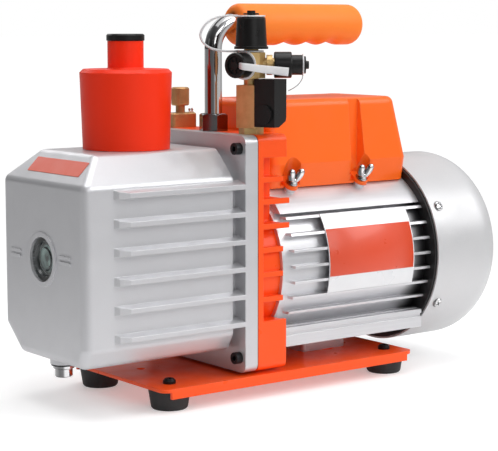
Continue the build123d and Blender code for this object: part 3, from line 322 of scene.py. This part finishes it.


# Direction along which painted reflection bands are laid out on plated parts.
BRIGHT_SIDE = (0.8, -0.6, 0.0)
# Colours of painted edge highlights.
EDGE_HIGHLIGHT_WHITE = (0.88, 0.88, 0.90)
ORANGE_EDGE_HIGHLIGHT = (1.0, 0.36, 0.17)
# Painted reflection stops, as (facing, brightness) pairs.
PAINTED_STUDIO_REFLECTIONS = ((-1.0, 0.55), (-0.75, 0.3), (-0.35, 0.1), (0.05, 0.14), (0.25, 0.75), (0.7, 0.85),
                (1.0, 0.4))
DARK_PAINTED_REFLECTIONS = ((-1.0, 0.16), (-0.3, 0.04), (0.2, 0.08), (0.45, 0.4), (0.65, 0.14), (1.0, 0.07))
looks = {
    "cast_aluminium": surface("cast_aluminium", (0.60, 0.60, 0.62), 0.36, 0.5, 0.035, (1250, 0.05),
                              edge=(EDGE_HIGHLIGHT_WHITE, 0.45), edge_radius=0.7, Coat_Weight=0.2,
                              Coat_Roughness=0.22),
    "finned_aluminium": drawn_aluminium("finned_aluminium"),
    "clear_glass": clear_lens("clear_glass"),
    "black_rubber": surface("black_rubber", (0.018, 0.018, 0.019), 0.62, 0.0, 0.3, (1900, 0.07),
                            edge=((0.06, 0.06, 0.06), 0.5)),
    "bright_metal": chrome("bright_metal", PAINTED_STUDIO_REFLECTIONS, 0.5),
    "gasket": surface("gasket", (0.04, 0.038, 0.036), 0.8, 0.0, 0.25, (2300, 0.06)),
    "black_screws": surface("black_screws", (0.02, 0.02, 0.022), 0.34, 0.7, 0.25, (2100, 0.02),
                            edge=((0.16, 0.16, 0.17), 0.5), edge_radius=0.3),
    "filter_plastic": surface("filter_plastic", (0.93, 0.032, 0.004), 0.36, 0.0, 0.02, (1500, 0.01),
                              edge=((1.0, 0.11, 0.04), 0.5), edge_radius=0.6, Specular_IOR_Level=0.22),
    "filter_media": felt("filter_media"),
    "black_plastic": surface("black_plastic", (0.007, 0.0065, 0.0065), 0.33, 0.0, 0.2, (1700, 0.012),
                             edge=((0.05, 0.05, 0.05), 0.5), edge_radius=0.35,
                             Specular_IOR_Level=0.27),
    "chrome_tube": chrome("chrome_tube", PAINTED_STUDIO_REFLECTIONS),
    "grip_plastic": surface("grip_plastic", (1.0, 0.235, 0.028), 0.5, 0.0, 0.03, (900, 0.05),
                            edge=((1.0, 0.4, 0.16), 0.3), edge_radius=1.5, Specular_IOR_Level=0.25,
                            Subsurface_Weight=0.1, Subsurface_Radius=(0.004, 0.001, 0.0005)),
    "brass": brass("brass", (0.66, 0.46, 0.20), (0.50, 0.33, 0.13)),
    "white_strap": surface("white_strap", (0.86, 0.86, 0.87), 0.34, 0.0, 0.04, (1200, 0.02),
                           Subsurface_Weight=0.4, Subsurface_Radius=(0.002, 0.002, 0.002),
                           Transmission_Weight=0.25),
    "steel": surface("steel", (0.55, 0.55, 0.57), 0.3, 1.0, 0.06, (1500, 0.02), drawn=(0.1, 1, 1),
                     edge=(EDGE_HIGHLIGHT_WHITE, 0.5), edge_radius=0.4),
    "orange_paint": surface("orange_paint", (0.97, 0.088, 0.008), 0.35, 0.0, 0.02, (420, 0.012),
                            edge=(ORANGE_EDGE_HIGHLIGHT, 0.25), edge_radius=0.7, Specular_IOR_Level=0.25,
                            Coat_Weight=0.12, Coat_Roughness=0.1),
    "orange_plastic": surface("orange_plastic", (1.0, 0.142, 0.011), 0.33, 0.0, 0.012, (700, 0.003),
                              smudge=0.04, edge=(ORANGE_EDGE_HIGHLIGHT, 0.35), edge_radius=0.8,
                              Specular_IOR_Level=0.25, Coat_Weight=0.15, Coat_Roughness=0.08),
    "switch_red": surface("switch_red", (0.55, 0.02, 0.015), 0.22, 0.0, 0.06, (1600, 0.02),
                          edge=((0.8, 0.1, 0.08), 0.5), Coat_Weight=0.4, Coat_Roughness=0.1),
    "capacitor_can": surface("capacitor_can", (0.03, 0.03, 0.034), 0.4, 0.0, 0.2, (1500, 0.04),
                             edge=((0.12, 0.12, 0.13), 0.5)),
    "lamination_steel": layered("lamination_steel", (0.16, 0.16, 0.17), (0.42, 0.42, 0.44), 1000, 0,
                                0.42, 0.8, 0.05),
    "copper_winding": layered("copper_winding", (0.28, 0.07, 0.02), (0.62, 0.24, 0.08), 900, 1,
                              0.3, 0.6, 0.2),
    "black_metal": surface("black_metal", (0.016, 0.016, 0.017), 0.38, 0.2, 0.2, (1100, 0.06),
                           edge=((0.10, 0.10, 0.10), 0.4), edge_radius=0.6),
    "fan_plastic": surface("fan_plastic", (0.045, 0.045, 0.048), 0.5, 0.0, 0.2, (1300, 0.06),
                           edge=((0.12, 0.12, 0.12), 0.4)),
    "grey_paint": surface("grey_paint", (0.60, 0.60, 0.61), 0.38, 0.25, 0.03, (760, 0.05),
                          edge=(EDGE_HIGHLIGHT_WHITE, 0.3), edge_radius=0.6, Coat_Weight=0.2,
                          Coat_Roughness=0.2),
    "label_plate": printed_plate("label_plate"),
    "cast_iron": surface("cast_iron", (0.19, 0.19, 0.20), 0.45, 0.85, 0.12, (900, 0.08),
                         edge=((0.5, 0.5, 0.5), 0.5)),
    "vane_composite": surface("vane_composite", (0.11, 0.075, 0.045), 0.6, 0.0, 0.3, (2400, 0.05),
                              drawn=(0.1, 1, 1)),
}
ballast_brass = brass("ballast_brass", (0.56, 0.33, 0.14), (0.34, 0.17, 0.07))
sticker_red = surface("sticker_red", (0.78, 0.12, 0.065), 0.42, 0.0, 0.02, (1900, 0.006),
                      Coat_Weight=0.25, Coat_Roughness=0.2)
plate_red = surface("plate_red", (0.70, 0.075, 0.028), 0.34, 0.0, 0.015, (1500, 0.004), edge_radius=0.04,
                    Coat_Weight=0.3, Coat_Roughness=0.15)

for node in nodes.values():
    slot = node.data.materials[0].name.split(".")[0]
    node.data.materials.clear()
    node.data.materials.append(looks[slot])
for name in ("ballast_valve_body", "ballast_knob"):
    nodes[name].data.materials[0] = ballast_brass
# The handle nut gets darker painted reflections.
nodes["handle_nut"].data.materials[0] = chrome("nut_metal", DARK_PAINTED_REFLECTIONS, 0.5)


# ---------------------------------------------------------------- mesh helpers
def as_piece(name, bm, body, material, smooth=True):
    """Link a finished bmesh as a named piece that rides on a body (None: not attached here)."""
    bmesh.ops.recalc_face_normals(bm, faces=bm.faces)
    mesh = bpy.data.meshes.new(name)
    bm.to_mesh(mesh)
    bm.free()
    mesh.materials.append(material)
    for face in mesh.polygons:
        face.use_smooth = smooth
    obj = bpy.data.objects.new(name, mesh)
    bpy.context.scene.collection.objects.link(obj)
    if body:
        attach(obj, body)
    return obj


def ring_turns(count):
    """Even angles round a full turn."""
    return [2 * pi * k / count for k in range(count)]


def skin(bm, loops, close_start=True, close_end=True):
    """Quads between successive closed loops of points, with the two ends filled."""
    rows = [[bm.verts.new(p) for p in loop] for loop in loops]
    count = len(rows[0])
    for a, b in zip(rows, rows[1:]):
        for k in range(count):
            bm.faces.new((a[k], a[(k + 1) % count], b[(k + 1) % count], b[k]))
    if close_start:
        bm.faces.new(rows[0])
    if close_end:
        bm.faces.new(rows[-1])
    return rows


def side_axes(direction):
    """Two unit vectors square to a direction."""
    helper = Vector((0, 0, 1)) if abs(direction.z) < 0.9 else Vector((1, 0, 0))
    u = direction.cross(helper).normalized()
    return u, direction.cross(u).normalized()


def lathe(bm, origin, direction, outline, steps=40):
    """Revolve an (along, radius) outline, in mm, into a closed form; a zero radius is a pole."""
    u, v = side_axes(direction)
    rows = []
    for along, radius in outline:
        middle = origin + direction * along * MM
        if radius == 0:
            rows.append([bm.verts.new(middle)])
            continue
        rows.append([bm.verts.new(middle + (u * cos(t) + v * sin(t)) * radius * MM)
                     for t in ring_turns(steps)])
    for a, b in zip(rows, rows[1:] + rows[:1]):
        if len(a) == 1 and len(b) == 1:
            continue
        for k in range(steps):
            n = (k + 1) % steps
            if len(a) == 1:
                bm.faces.new((a[0], b[k], b[n]))
            elif len(b) == 1:
                bm.faces.new((a[k], a[n], b[0]))
            else:
                bm.faces.new((a[k], a[n], b[n], b[k]))


def softened(obj, width, segments=2):
    """Round an object's sharper edges with a bevel modifier; width in mm."""
    bevel = obj.modifiers.new("soft_edges", "BEVEL")
    bevel.width = width * MM
    bevel.segments = segments
    bevel.limit_method = "ANGLE"
    bevel.angle_limit = radians(35)
    bevel.harden_normals = False


def carved(obj, cutters):
    """Cut closed forms out of an object, and drop them."""
    for cutter in cutters:
        boolean = obj.modifiers.new("cut", "BOOLEAN")
        boolean.operation = "DIFFERENCE"
        boolean.solver = "EXACT"
        boolean.object = cutter
    graph = bpy.context.evaluated_depsgraph_get()
    graph.update()
    mesh = bpy.data.meshes.new_from_object(obj.evaluated_get(graph))
    obj.modifiers.clear()
    obj.data = mesh
    for cutter in cutters:
        bpy.data.objects.remove(cutter)


def loose_form(bm):
    """A temporary object, used only to cut another."""
    bmesh.ops.recalc_face_normals(bm, faces=bm.faces)
    mesh = bpy.data.meshes.new("cutter")
    bm.to_mesh(mesh)
    bm.free()
    obj = bpy.data.objects.new("cutter", mesh)
    bpy.context.scene.collection.objects.link(obj)
    return obj


def box_at(bm, centre, axes, sizes):
    """A block with given axes and full sizes in mm."""
    halves = [a * s * MM / 2 for a, s in zip(axes, sizes)]
    loops = []
    for end in (-1, 1):
        loops.append([centre + halves[2] * end + halves[0] * i + halves[1] * j
                      for i, j in ((-1, -1), (1, -1), (1, 1), (-1, 1))])
    skin(bm, loops)


def curve_through(points, steps=8):
    """Even samples of a Catmull-Rom curve through points."""
    padded = [points[0] * 2 - points[1], *points, points[-1] * 2 - points[-2]]
    samples = []
    for a, b, c, d in zip(padded, padded[1:], padded[2:], padded[3:]):
        for k in range(steps):
            t = k / steps
            samples.append(0.5 * (2 * b + (c - a) * t + (2 * a - 5 * b + 4 * c - d) * t ** 2
                                  + (3 * b - a - 3 * c + d) * t ** 3))
    return samples + [points[-1].copy()]


def ribbon(bm, path, wide, widths, thickness):
    """A flat strap with rounded edges along a path, in mm.

    `wide` is the direction of its width; widths is one width, or one for each end."""
    first, last = widths if isinstance(widths, tuple) else (widths, widths)
    loops = []
    for k, point in enumerate(path):
        ahead = path[min(k + 1, len(path) - 1)] - path[max(k - 1, 0)]
        along = ahead.normalized()
        w = (wide - along * wide.dot(along)).normalized()
        n = along.cross(w)
        half_width = (first + (last - first) * k / (len(path) - 1)) * MM / 2
        half_thick = thickness * MM / 2
        loop = []
        for turn in ring_turns(12):
            c, s = cos(turn), sin(turn)
            flat = abs(c) ** 0.4 * (1 if c > 0 else -1)
            bulge = abs(s) ** 0.7 * (1 if s > 0 else -1)
            loop.append(point + w * half_width * flat + n * half_thick * bulge)
        loops.append(loop)
    skin(bm, loops)


# ---------------------------------------------------------------- blank labels
TANK_TOP = 181.5 * MM
TANK_BEVEL = 20.5 * MM
TANK_MARK_HEIGHT = 1 * MM
tank_face_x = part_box("oil_tank")[0].x + TANK_MARK_HEIGHT
near = Vector((0, -1, 0))
upward = Vector((0, 0, 1))


def bevel_sticker():
    """Thin blank sticker with rounded corners, on the tank's front top bevel."""
    slope = Vector((1, 0, 1)).normalized()
    out = Vector((-1, 0, 1)).normalized()
    way_up = 0.535
    off_centre = 4.4 * MM
    middle = Vector((tank_face_x + way_up * TANK_BEVEL, -off_centre,
                     TANK_TOP - (1 - way_up) * TANK_BEVEL))
    half_long, half_high, corner = 34.5 * MM, 6.5 * MM, 0.9 * MM
    underside, upper_side = 0.02, 0.28
    outline = []
    corner_steps = 4
    for sign_a, sign_b, start in ((1, 1, 0), (-1, 1, 90), (-1, -1, 180), (1, -1, 270)):
        for step in range(corner_steps + 1):
            turn = radians(start + step * 90 / corner_steps)
            a = sign_a * (half_long - corner) + corner * cos(turn)
            b = sign_b * (half_high - corner) + corner * sin(turn)
            outline.append((a, b))
    bm = bmesh.new()
    skin(bm, [[middle + near * a + slope * b + out * lift * MM for a, b in outline]
              for lift in (underside, upper_side)])
    as_piece("bevel_sticker", bm, "pump", sticker_red, smooth=False)


def plate_panel():
    """Blank coloured field across the middle of the curved rating plate."""
    low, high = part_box("nameplate")
    bottom, top = 84.3 * MM, 119.2 * MM
    inner, outer = 68.76 * MM, 68.92 * MM
    left, right = low.x + 0.4 * MM, high.x - 0.9 * MM
    steps = 24
    loops = []
    for step in range(steps + 1):
        z = bottom + (top - bottom) * step / steps
        lean = (z - SHAFT_Z) / outer
        y = -sqrt(1 - lean * lean)
        ring = []
        for x, reach in ((left, inner), (right, inner), (right, outer), (left, outer)):
            ring.append(Vector((x, y * reach, SHAFT_Z + lean * reach)))
        loops.append(ring)
    bm = bmesh.new()
    skin(bm, loops)
    return as_piece("plate_panel", bm, "pump", plate_red)


bevel_sticker()
softened(plate_panel(), 0.02, 1)


# ---------------------------------------------------------------- sight glass
def glass_reflector():
    """Stepped reflector seen through the sight glass."""
    low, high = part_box("sight_glass")
    centre = Vector((high.x, (low.y + high.y) / 2, (low.z + high.z) / 2))
    bm = bmesh.new()
    lathe(bm, centre, Vector((1, 0, 0)),
          [(0.3, 0), (0.3, 1.9), (0.9, 2.5), (1.3, 5.6), (1.0, 8.6), (0.4, 9.4), (0.4, 12.1),
           (2.0, 12.1), (2.0, 0)], steps=64)
    as_piece("glass_reflector", bm, "pump", lens_back("lens_back", centre.z))


glass_reflector()


# ---------------------------------------------------------------- screws
def cover_screws():
    """Pan-head cross-recess screws round the fan cover."""
    cover_radius = 75.0
    screw_x = 125.5 * MM
    above_level = 30.5
    slot_long, slot_wide, slot_deep, slot_middle = 4.4, 0.85, 2.2, 2.0
    for number, (side, turn) in enumerate(((-1, 0), (-1, 180), (1, 0), (1, 180)), start=1):
        lean = radians(side * above_level + turn)
        out = Vector((0, cos(lean), sin(lean)))
        foot = Vector((screw_x, 0, SHAFT_Z)) + out * cover_radius * MM
        bm = bmesh.new()
        lathe(bm, foot, out, [(-0.3, 0), (-0.3, 3.7), (0.15, 4.1), (0.8, 4.0), (1.4, 3.4),
                              (1.9, 2.2), (2.15, 1.0), (2.2, 0)], steps=36)
        head = as_piece(f"cover_screw_{number}", bm, None, looks["bright_metal"])
        u, v = side_axes(out)
        cross = (u + v * 0.6).normalized()
        cutters = []
        for arm in (cross, out.cross(cross)):
            blade = bmesh.new()
            box_at(blade, foot + out * slot_middle * MM, (arm, out.cross(arm), out),
                   (slot_long, slot_wide, slot_deep))
            cutters.append(loose_form(blade))
        carved(head, cutters)
        head.data.materials[0] = looks["bright_metal"]
        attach(head, "pump")
    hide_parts("fan_cover_screws")


WING_LEAN = 57
WING_STEM = ((64, 0), (64, 2.3), (73.45, 2.3), (73.45, 4.7), (74.5, 4.7), (74.9, 3.9), (77.2, 3.3),
             (78.6, 2.0), (79.0, 0))
# One wing's stations: reach from the screw, height over the shaft, half width, half thickness, in mm.
WING = ((0.7, 75.0, 2.0, 2.5), (2.0, 77.0, 2.8, 2.8), (3.2, 79.4, 3.2, 3.0), (4.1, 82.0, 3.3, 2.9),
        (4.6, 84.0, 3.1, 2.6), (4.8, 85.4, 2.4, 1.9), (4.9, 86.1, 1.5, 1.1), (4.9, 86.5, 0.3, 0.2))


def wing_thumb(name):
    """Plated thumb screw with a collar and two plump, rounded wings spread in a V."""
    low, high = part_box(name)
    middle = (low + high) / 2
    side = -1 if middle.y < 0 else 1
    lean = radians(WING_LEAN)
    out = Vector((0, side * cos(lean), sin(lean)))
    along = Vector((1, 0, 0))
    thick = along.cross(out)
    origin = Vector((middle.x, 0, SHAFT_Z))
    bm = bmesh.new()
    lathe(bm, origin, out, WING_STEM, steps=32)
    for way in (-1, 1):
        loops = []
        for k, (reach, height, half_width, half_thick) in enumerate(WING):
            after = WING[min(k + 1, len(WING) - 1)]
            before = WING[max(k - 1, 0)]
            climb = along * way * (after[0] - before[0]) + out * (after[1] - before[1])
            across = climb.normalized().cross(thick)
            centre = origin + (along * way * reach + out * height) * MM
            loops.append([centre + (across * half_width * cos(t) + thick * half_thick * sin(t)) * MM
                          for t in ring_turns(20)])
        skin(bm, loops)
    piece = as_piece(f"thumb_{name}", bm, None, looks["chrome_tube"])
    smooth = piece.modifiers.new("smooth", "SUBSURF")
    smooth.levels = smooth.render_levels = 1
    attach(piece, name)
    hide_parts(name)


cover_screws()
for number in range(1, 5):
    wing_thumb(f"wing_screw_{number}")


# ---------------------------------------------------------------- carry handle
GRIP_RADIUS = 15.65
GRIP_BORE_RADIUS = 6.55
TUBE_Z = 272.0 * MM
FRONT_ROUNDING = (5.5, 5.2)
BACK_DOME = (9.5, 10.5)
FINGER_DIPS = (22.0, 44.0, 64.0)
DIP_DEPTH = 2.3
DIP_HALF = 10.5


def drawn_in(distance, rounding):
    """How far an end's (length, depth) rounding draws the grip in, at a distance from that end."""
    length, depth = rounding
    gone = max(0.0, 1 - distance / length)
    return depth * (1 - sqrt(max(0.0, 1 - gone ** 2)))


def finger_dip(x):
    """Depth of the finger waves below the grip, in mm, at a place x in mm."""
    return sum(DIP_DEPTH * 0.5 * (1 + cos(pi * (x - middle) / DIP_HALF))
               for middle in FINGER_DIPS if abs(x - middle) < DIP_HALF)


def soft_grip():
    """Moulded grip: round bar with domed far end, finger waves below and a bore for the tube."""
    low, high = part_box("handle_grip")
    centre_z = high.z - GRIP_RADIUS * MM
    steps = 48
    length = (high.x - low.x) / MM
    bore_end = length - 6.2
    rings = [0.0, 0.5, 1.4, 2.8, 4.6, 7.0]
    rings += [10.0 + 2.0 * k for k in range(int(length / 2) - 9)]
    rings += [length - gap for gap in (8.5, 6.5, 4.6, 3.0, 1.7, 0.8, 0.2)]
    outer = []
    for along in rings:
        radius = GRIP_RADIUS - drawn_in(along, FRONT_ROUNDING) - drawn_in(length - along, BACK_DOME)
        dip = finger_dip(low.x / MM + along)
        loop = []
        for turn in ring_turns(steps):
            across, high_part = cos(turn), sin(turn)
            lift = dip * max(0.0, -high_part) ** 1.3
            loop.append(Vector((low.x + along * MM, radius * across * MM,
                                centre_z + (radius * high_part + lift) * MM)))
        outer.append(loop)
    inner = []
    for along in (bore_end, 0.0):
        inner.append([Vector((low.x + along * MM, GRIP_BORE_RADIUS * MM * cos(turn),
                              TUBE_Z + GRIP_BORE_RADIUS * MM * sin(turn))) for turn in ring_turns(steps)])
    bm = bmesh.new()
    rows = skin(bm, outer, close_start=False)
    bore = skin(bm, inner, close_end=False)
    for k in range(steps):
        n = (k + 1) % steps
        bm.faces.new((bore[-1][k], bore[-1][n], rows[0][n], rows[0][k]))
    grip = as_piece("soft_grip", bm, "pump", looks["grip_plastic"])
    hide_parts("handle_grip")


soft_grip()


# ---------------------------------------------------------------- inlet valve details
hub = Vector((-44 * MM, -46 * MM, 241 * MM))


def heading(turn):
    """Level unit vector at an angle in degrees from +X."""
    return Vector((cos(radians(turn)), sin(radians(turn)), 0))


side_way = heading(-36)
front_way = heading(-161)
left_way = heading(150)
near_way = heading(-126)


def from_hub(*parts):
    """The hub's centre moved by (direction, mm) pairs."""
    return sum(((way * reach * MM) for way, reach in parts), hub.copy())


def collar(bm, way, start, end, inner, outer):
    """A flat moulded ring round one port or cap, between two distances from the hub."""
    soft = 0.3
    lathe(bm, hub, way, [(start, inner), (start, outer - soft), (start + soft, outer), (end - soft, outer),
                         (end, outer - soft), (end, inner)])


def top_keeper():
    """Strap from the top cap's ring, out in a loop, to a ring under the cap."""
    bm = bmesh.new()
    collar(bm, upward, 34.3, 35.4, 3.3, 10.2)
    collar(bm, upward, 9.2, 10.4, 5.4, 9.2)
    knots = [(9.6, 34.9), (15, 35.1), (22, 34.6), (29, 32.0), (34, 27.6), (36.6, 21.5), (34.6, 16.0),
             (29, 12.0), (22, 10.3), (15, 9.8), (8.6, 9.8)]
    path = curve_through([from_hub((left_way, out), (upward, high)) for out, high in knots])
    ribbon(bm, path, heading(60), 3.4, 1.6)
    strap = as_piece("top_keeper", bm, None, looks["white_strap"])
    from_hub((upward, 12))
    from_hub((upward, 33))
    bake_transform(strap)
    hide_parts("top_cap_tether")


def front_keeper():
    """Ring behind the front cap, and a wide strap from the cap's centre that ends by the side port."""
    bm = bmesh.new()
    collar(bm, front_way, 9.0, 9.9, 5.3, 10.5)
    face_way = heading(-71)
    knots = [((front_way, 19.9), (face_way, 3.2)), ((front_way, 21.8), (face_way, 5.4), (upward, -0.2)),
             ((front_way, 22.9), (face_way, 8.6), (upward, -0.6)),
             ((side_way, 2.0), (near_way, 21.6), (upward, -1.7)),
             ((side_way, 9.5), (near_way, 18.4), (upward, -2.8)),
             ((side_way, 18.0), (near_way, 14.9), (upward, -3.8)),
             ((side_way, 26.2), (near_way, 12.6), (upward, -4.7))]
    path = curve_through([from_hub(*knot) for knot in knots])
    ribbon(bm, path, upward, (4.4, 6.2), 1.0)
    strap = as_piece("front_keeper", bm, None, looks["white_strap"])
    from_hub((front_way, 9))
    from_hub((front_way, 19))
    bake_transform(strap)
    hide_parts("front_cap_tether")


def side_keeper():
    """Thin strap hanging from the side cap's ring, curving back behind the coil."""
    bm = bmesh.new()
    collar(bm, side_way, 36.7, 37.7, 3.2, 8.0)
    knots = [(37.2, -7.4), (36.6, -10.2), (34.2, -13.8), (30.6, -16.6), (26.8, -18.6)]
    path = curve_through([from_hub((side_way, out), (upward, high)) for out, high in knots])
    ribbon(bm, path, near_way, 2.4, 0.8)
    strap = as_piece("side_keeper", bm, None, looks["white_strap"])
    from_hub((side_way, 30))
    from_hub((side_way, 37))
    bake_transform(strap)
    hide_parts("side_cap_tether")


def cap_face():
    """Moulded spokes in the recess of the front cap."""
    bm = bmesh.new()
    face_side, face_up = side_axes(front_way)
    for turn in ring_turns(8):
        arm = face_side * cos(turn) + face_up * sin(turn)
        box_at(bm, from_hub((front_way, 20.0), (arm, 4.2)), (arm, front_way.cross(arm), front_way),
               (2.4, 0.7, 0.8))
    spokes = as_piece("cap_face", bm, "front_cap", looks["black_plastic"], smooth=False)
    softened(spokes, 0.12)


def ballast_clip():
    """Small wire spring clip lying on the gas ballast body."""
    low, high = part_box("ballast_valve_body")
    block_top = 202.5 * MM
    start = Vector((high.x - 6.6 * MM, (low.y + high.y) / 2 - 4.2 * MM, block_top + 1.75 * MM))
    turns, steps = 2, 60
    long, aside, half_wide, half_high = 5.4, 0.6, 1.1, 1.35
    wire = 0.8
    path = []
    for k in range(steps + 1):
        share = k / steps
        turn = 2 * pi * turns * share
        path.append(start + Vector((long * share + half_wide * sin(turn), aside * share,
                                    -half_high * cos(turn))) * MM)
    bm = bmesh.new()
    ribbon(bm, path, Vector((0, 1, 0)), wire, wire)
    as_piece("ballast_clip", bm, "pump", looks["bright_metal"])


top_keeper()
front_keeper()
side_keeper()
cap_face()
ballast_clip()


# ---------------------------------------------------------------- studio
FLOOR_FADE = (0.22, 0.75)
HORIZON = ((0.0, 0.75), (0.49, 0.75), (0.52, 0.32), (0.66, 0.62), (0.85, 1.0), (1.0, 1.0))


def aimed(name, data, target, azimuth, elevation, distance):
    """Place a lamp or camera so that it looks at a point; azimuth 0 is on the -Y side, 90 on +X."""
    obj = bpy.data.objects.new(name, data)
    a, e = radians(azimuth), radians(elevation)
    away = Vector((sin(a) * cos(e), -cos(a) * cos(e), sin(e)))
    obj.location = target + away * distance
    obj.rotation_mode = "QUATERNION"
    obj.rotation_quaternion = (-away).to_track_quat("-Z", "Y")
    bpy.context.scene.collection.objects.link(obj)
    return obj


def studio_floor():
    """Pale floor that glows: faintly near the pump, fading to a glowing white between two distances from
    it, and with a weaker glow for light than for the camera.
    """
    bm = bmesh.new()
    bmesh.ops.create_grid(bm, x_segments=1, y_segments=1, size=30)
    mesh = bpy.data.meshes.new("studio_floor")
    bm.to_mesh(mesh)
    bm.free()
    look = Finish("studio_floor")
    reach = look.reach(look.axis(0), look.axis(1))
    far = look.span(reach, FLOOR_FADE[0], FLOOR_FADE[1], smooth=True)
    seen = look.add("ShaderNodeLightPath").outputs["Is Camera Ray"]
    glow = look.maths("MULTIPLY", look.span(far, 0.0, 1.0, 0.34, 1.0), look.span(seen, 0.0, 1.0, 0.5, 1.0))
    tone = look.mix(look.noise(3), (0.80, 0.80, 0.80), (0.84, 0.84, 0.84))
    look.set(Base_Color=look.mix(far, tone, (0, 0, 0)), Roughness=0.6, Specular_IOR_Level=0.2,
             Emission_Color=(1, 1, 1), Emission_Strength=glow)
    mesh.materials.append(look.material)
    floor = bpy.data.objects.new("studio_floor", mesh)
    bpy.context.scene.collection.objects.link(floor)


def softbox(name, azimuth, elevation, distance, size, power):
    """Rectangular area light aimed at the middle of the pump."""
    light = bpy.data.lights.new(name, "AREA")
    light.shape = "RECTANGLE"
    light.size, light.size_y = size
    light.energy = power
    lamp = aimed(name, light, Vector((0, 0, 0.12)), azimuth, elevation, distance)
    lamp.visible_camera = False


def surroundings():
    """White backdrop, and for light and reflections a room with a dim -X side and a dark horizon."""
    world = bpy.data.worlds.new("studio")
    bpy.context.scene.world = world
    world.use_nodes = True
    tree = world.node_tree
    tree.nodes.clear()
    output = tree.nodes.new("ShaderNodeOutputWorld")
    backdrop = tree.nodes.new("ShaderNodeBackground")
    backdrop.inputs["Color"].default_value = (1, 1, 1, 1)
    backdrop.inputs["Strength"].default_value = 1.0
    room = tree.nodes.new("ShaderNodeBackground")
    ramp = tree.nodes.new("ShaderNodeValToRGB")
    split = tree.nodes.new("ShaderNodeSeparateXYZ")
    coordinates = tree.nodes.new("ShaderNodeTexCoord")
    path = tree.nodes.new("ShaderNodeLightPath")
    mixer = tree.nodes.new("ShaderNodeMixShader")
    half = tree.nodes.new("ShaderNodeMapRange")
    half.inputs["From Min"].default_value = -1.0
    sideways = tree.nodes.new("ShaderNodeMapRange")
    for socket, value in (("From Min", -1.0), ("To Min", 0.14), ("To Max", 0.78)):
        sideways.inputs[socket].default_value = value
    fill_ramp(ramp, HORIZON)
    links = tree.links
    links.new(coordinates.outputs["Generated"], split.inputs[0])
    links.new(split.outputs["Z"], half.inputs["Value"])
    links.new(half.outputs[0], ramp.inputs[0])
    links.new(ramp.outputs[0], room.inputs["Color"])
    links.new(split.outputs["X"], sideways.inputs["Value"])
    links.new(sideways.outputs[0], room.inputs["Strength"])
    links.new(path.outputs["Is Camera Ray"], mixer.inputs[0])
    links.new(room.outputs[0], mixer.inputs[1])
    links.new(backdrop.outputs[0], mixer.inputs[2])
    links.new(mixer.outputs[0], output.inputs["Surface"])


studio_floor()
surroundings()
softbox("key_light", 42, 34, 2.2, (1.6, 1.2), 20)
softbox("front_fill", -12, 24, 2.6, (1.6, 1.2), 15)
softbox("top_light", 0, 88, 1.9, (1.8, 1.4), 22)
softbox("left_light", -105, 12, 2.4, (1.0, 1.4), 1.2)
softbox("back_light", 170, 35, 2.6, (1.6, 1.0), 9)

bpy.context.scene.view_settings.view_transform = "Standard"


# ---------------------------------------------------------------- camera
def camera(azimuth, elevation, distance, look_at, lens):
    """Long-lens camera from the tank's near corner; lens in mm on a 36 mm wide sensor."""
    data = bpy.data.cameras.new("camera")
    data.lens = lens
    data.sensor_width = 36.0
    data.clip_start, data.clip_end = 0.05, 100.0
    bpy.context.scene.camera = aimed("camera", data, look_at, azimuth, elevation, distance)


camera(azimuth=-37.29, elevation=7.04, distance=1.2396, look_at=Vector((-0.011, 0, 0.11766)),
       lens=117.45)
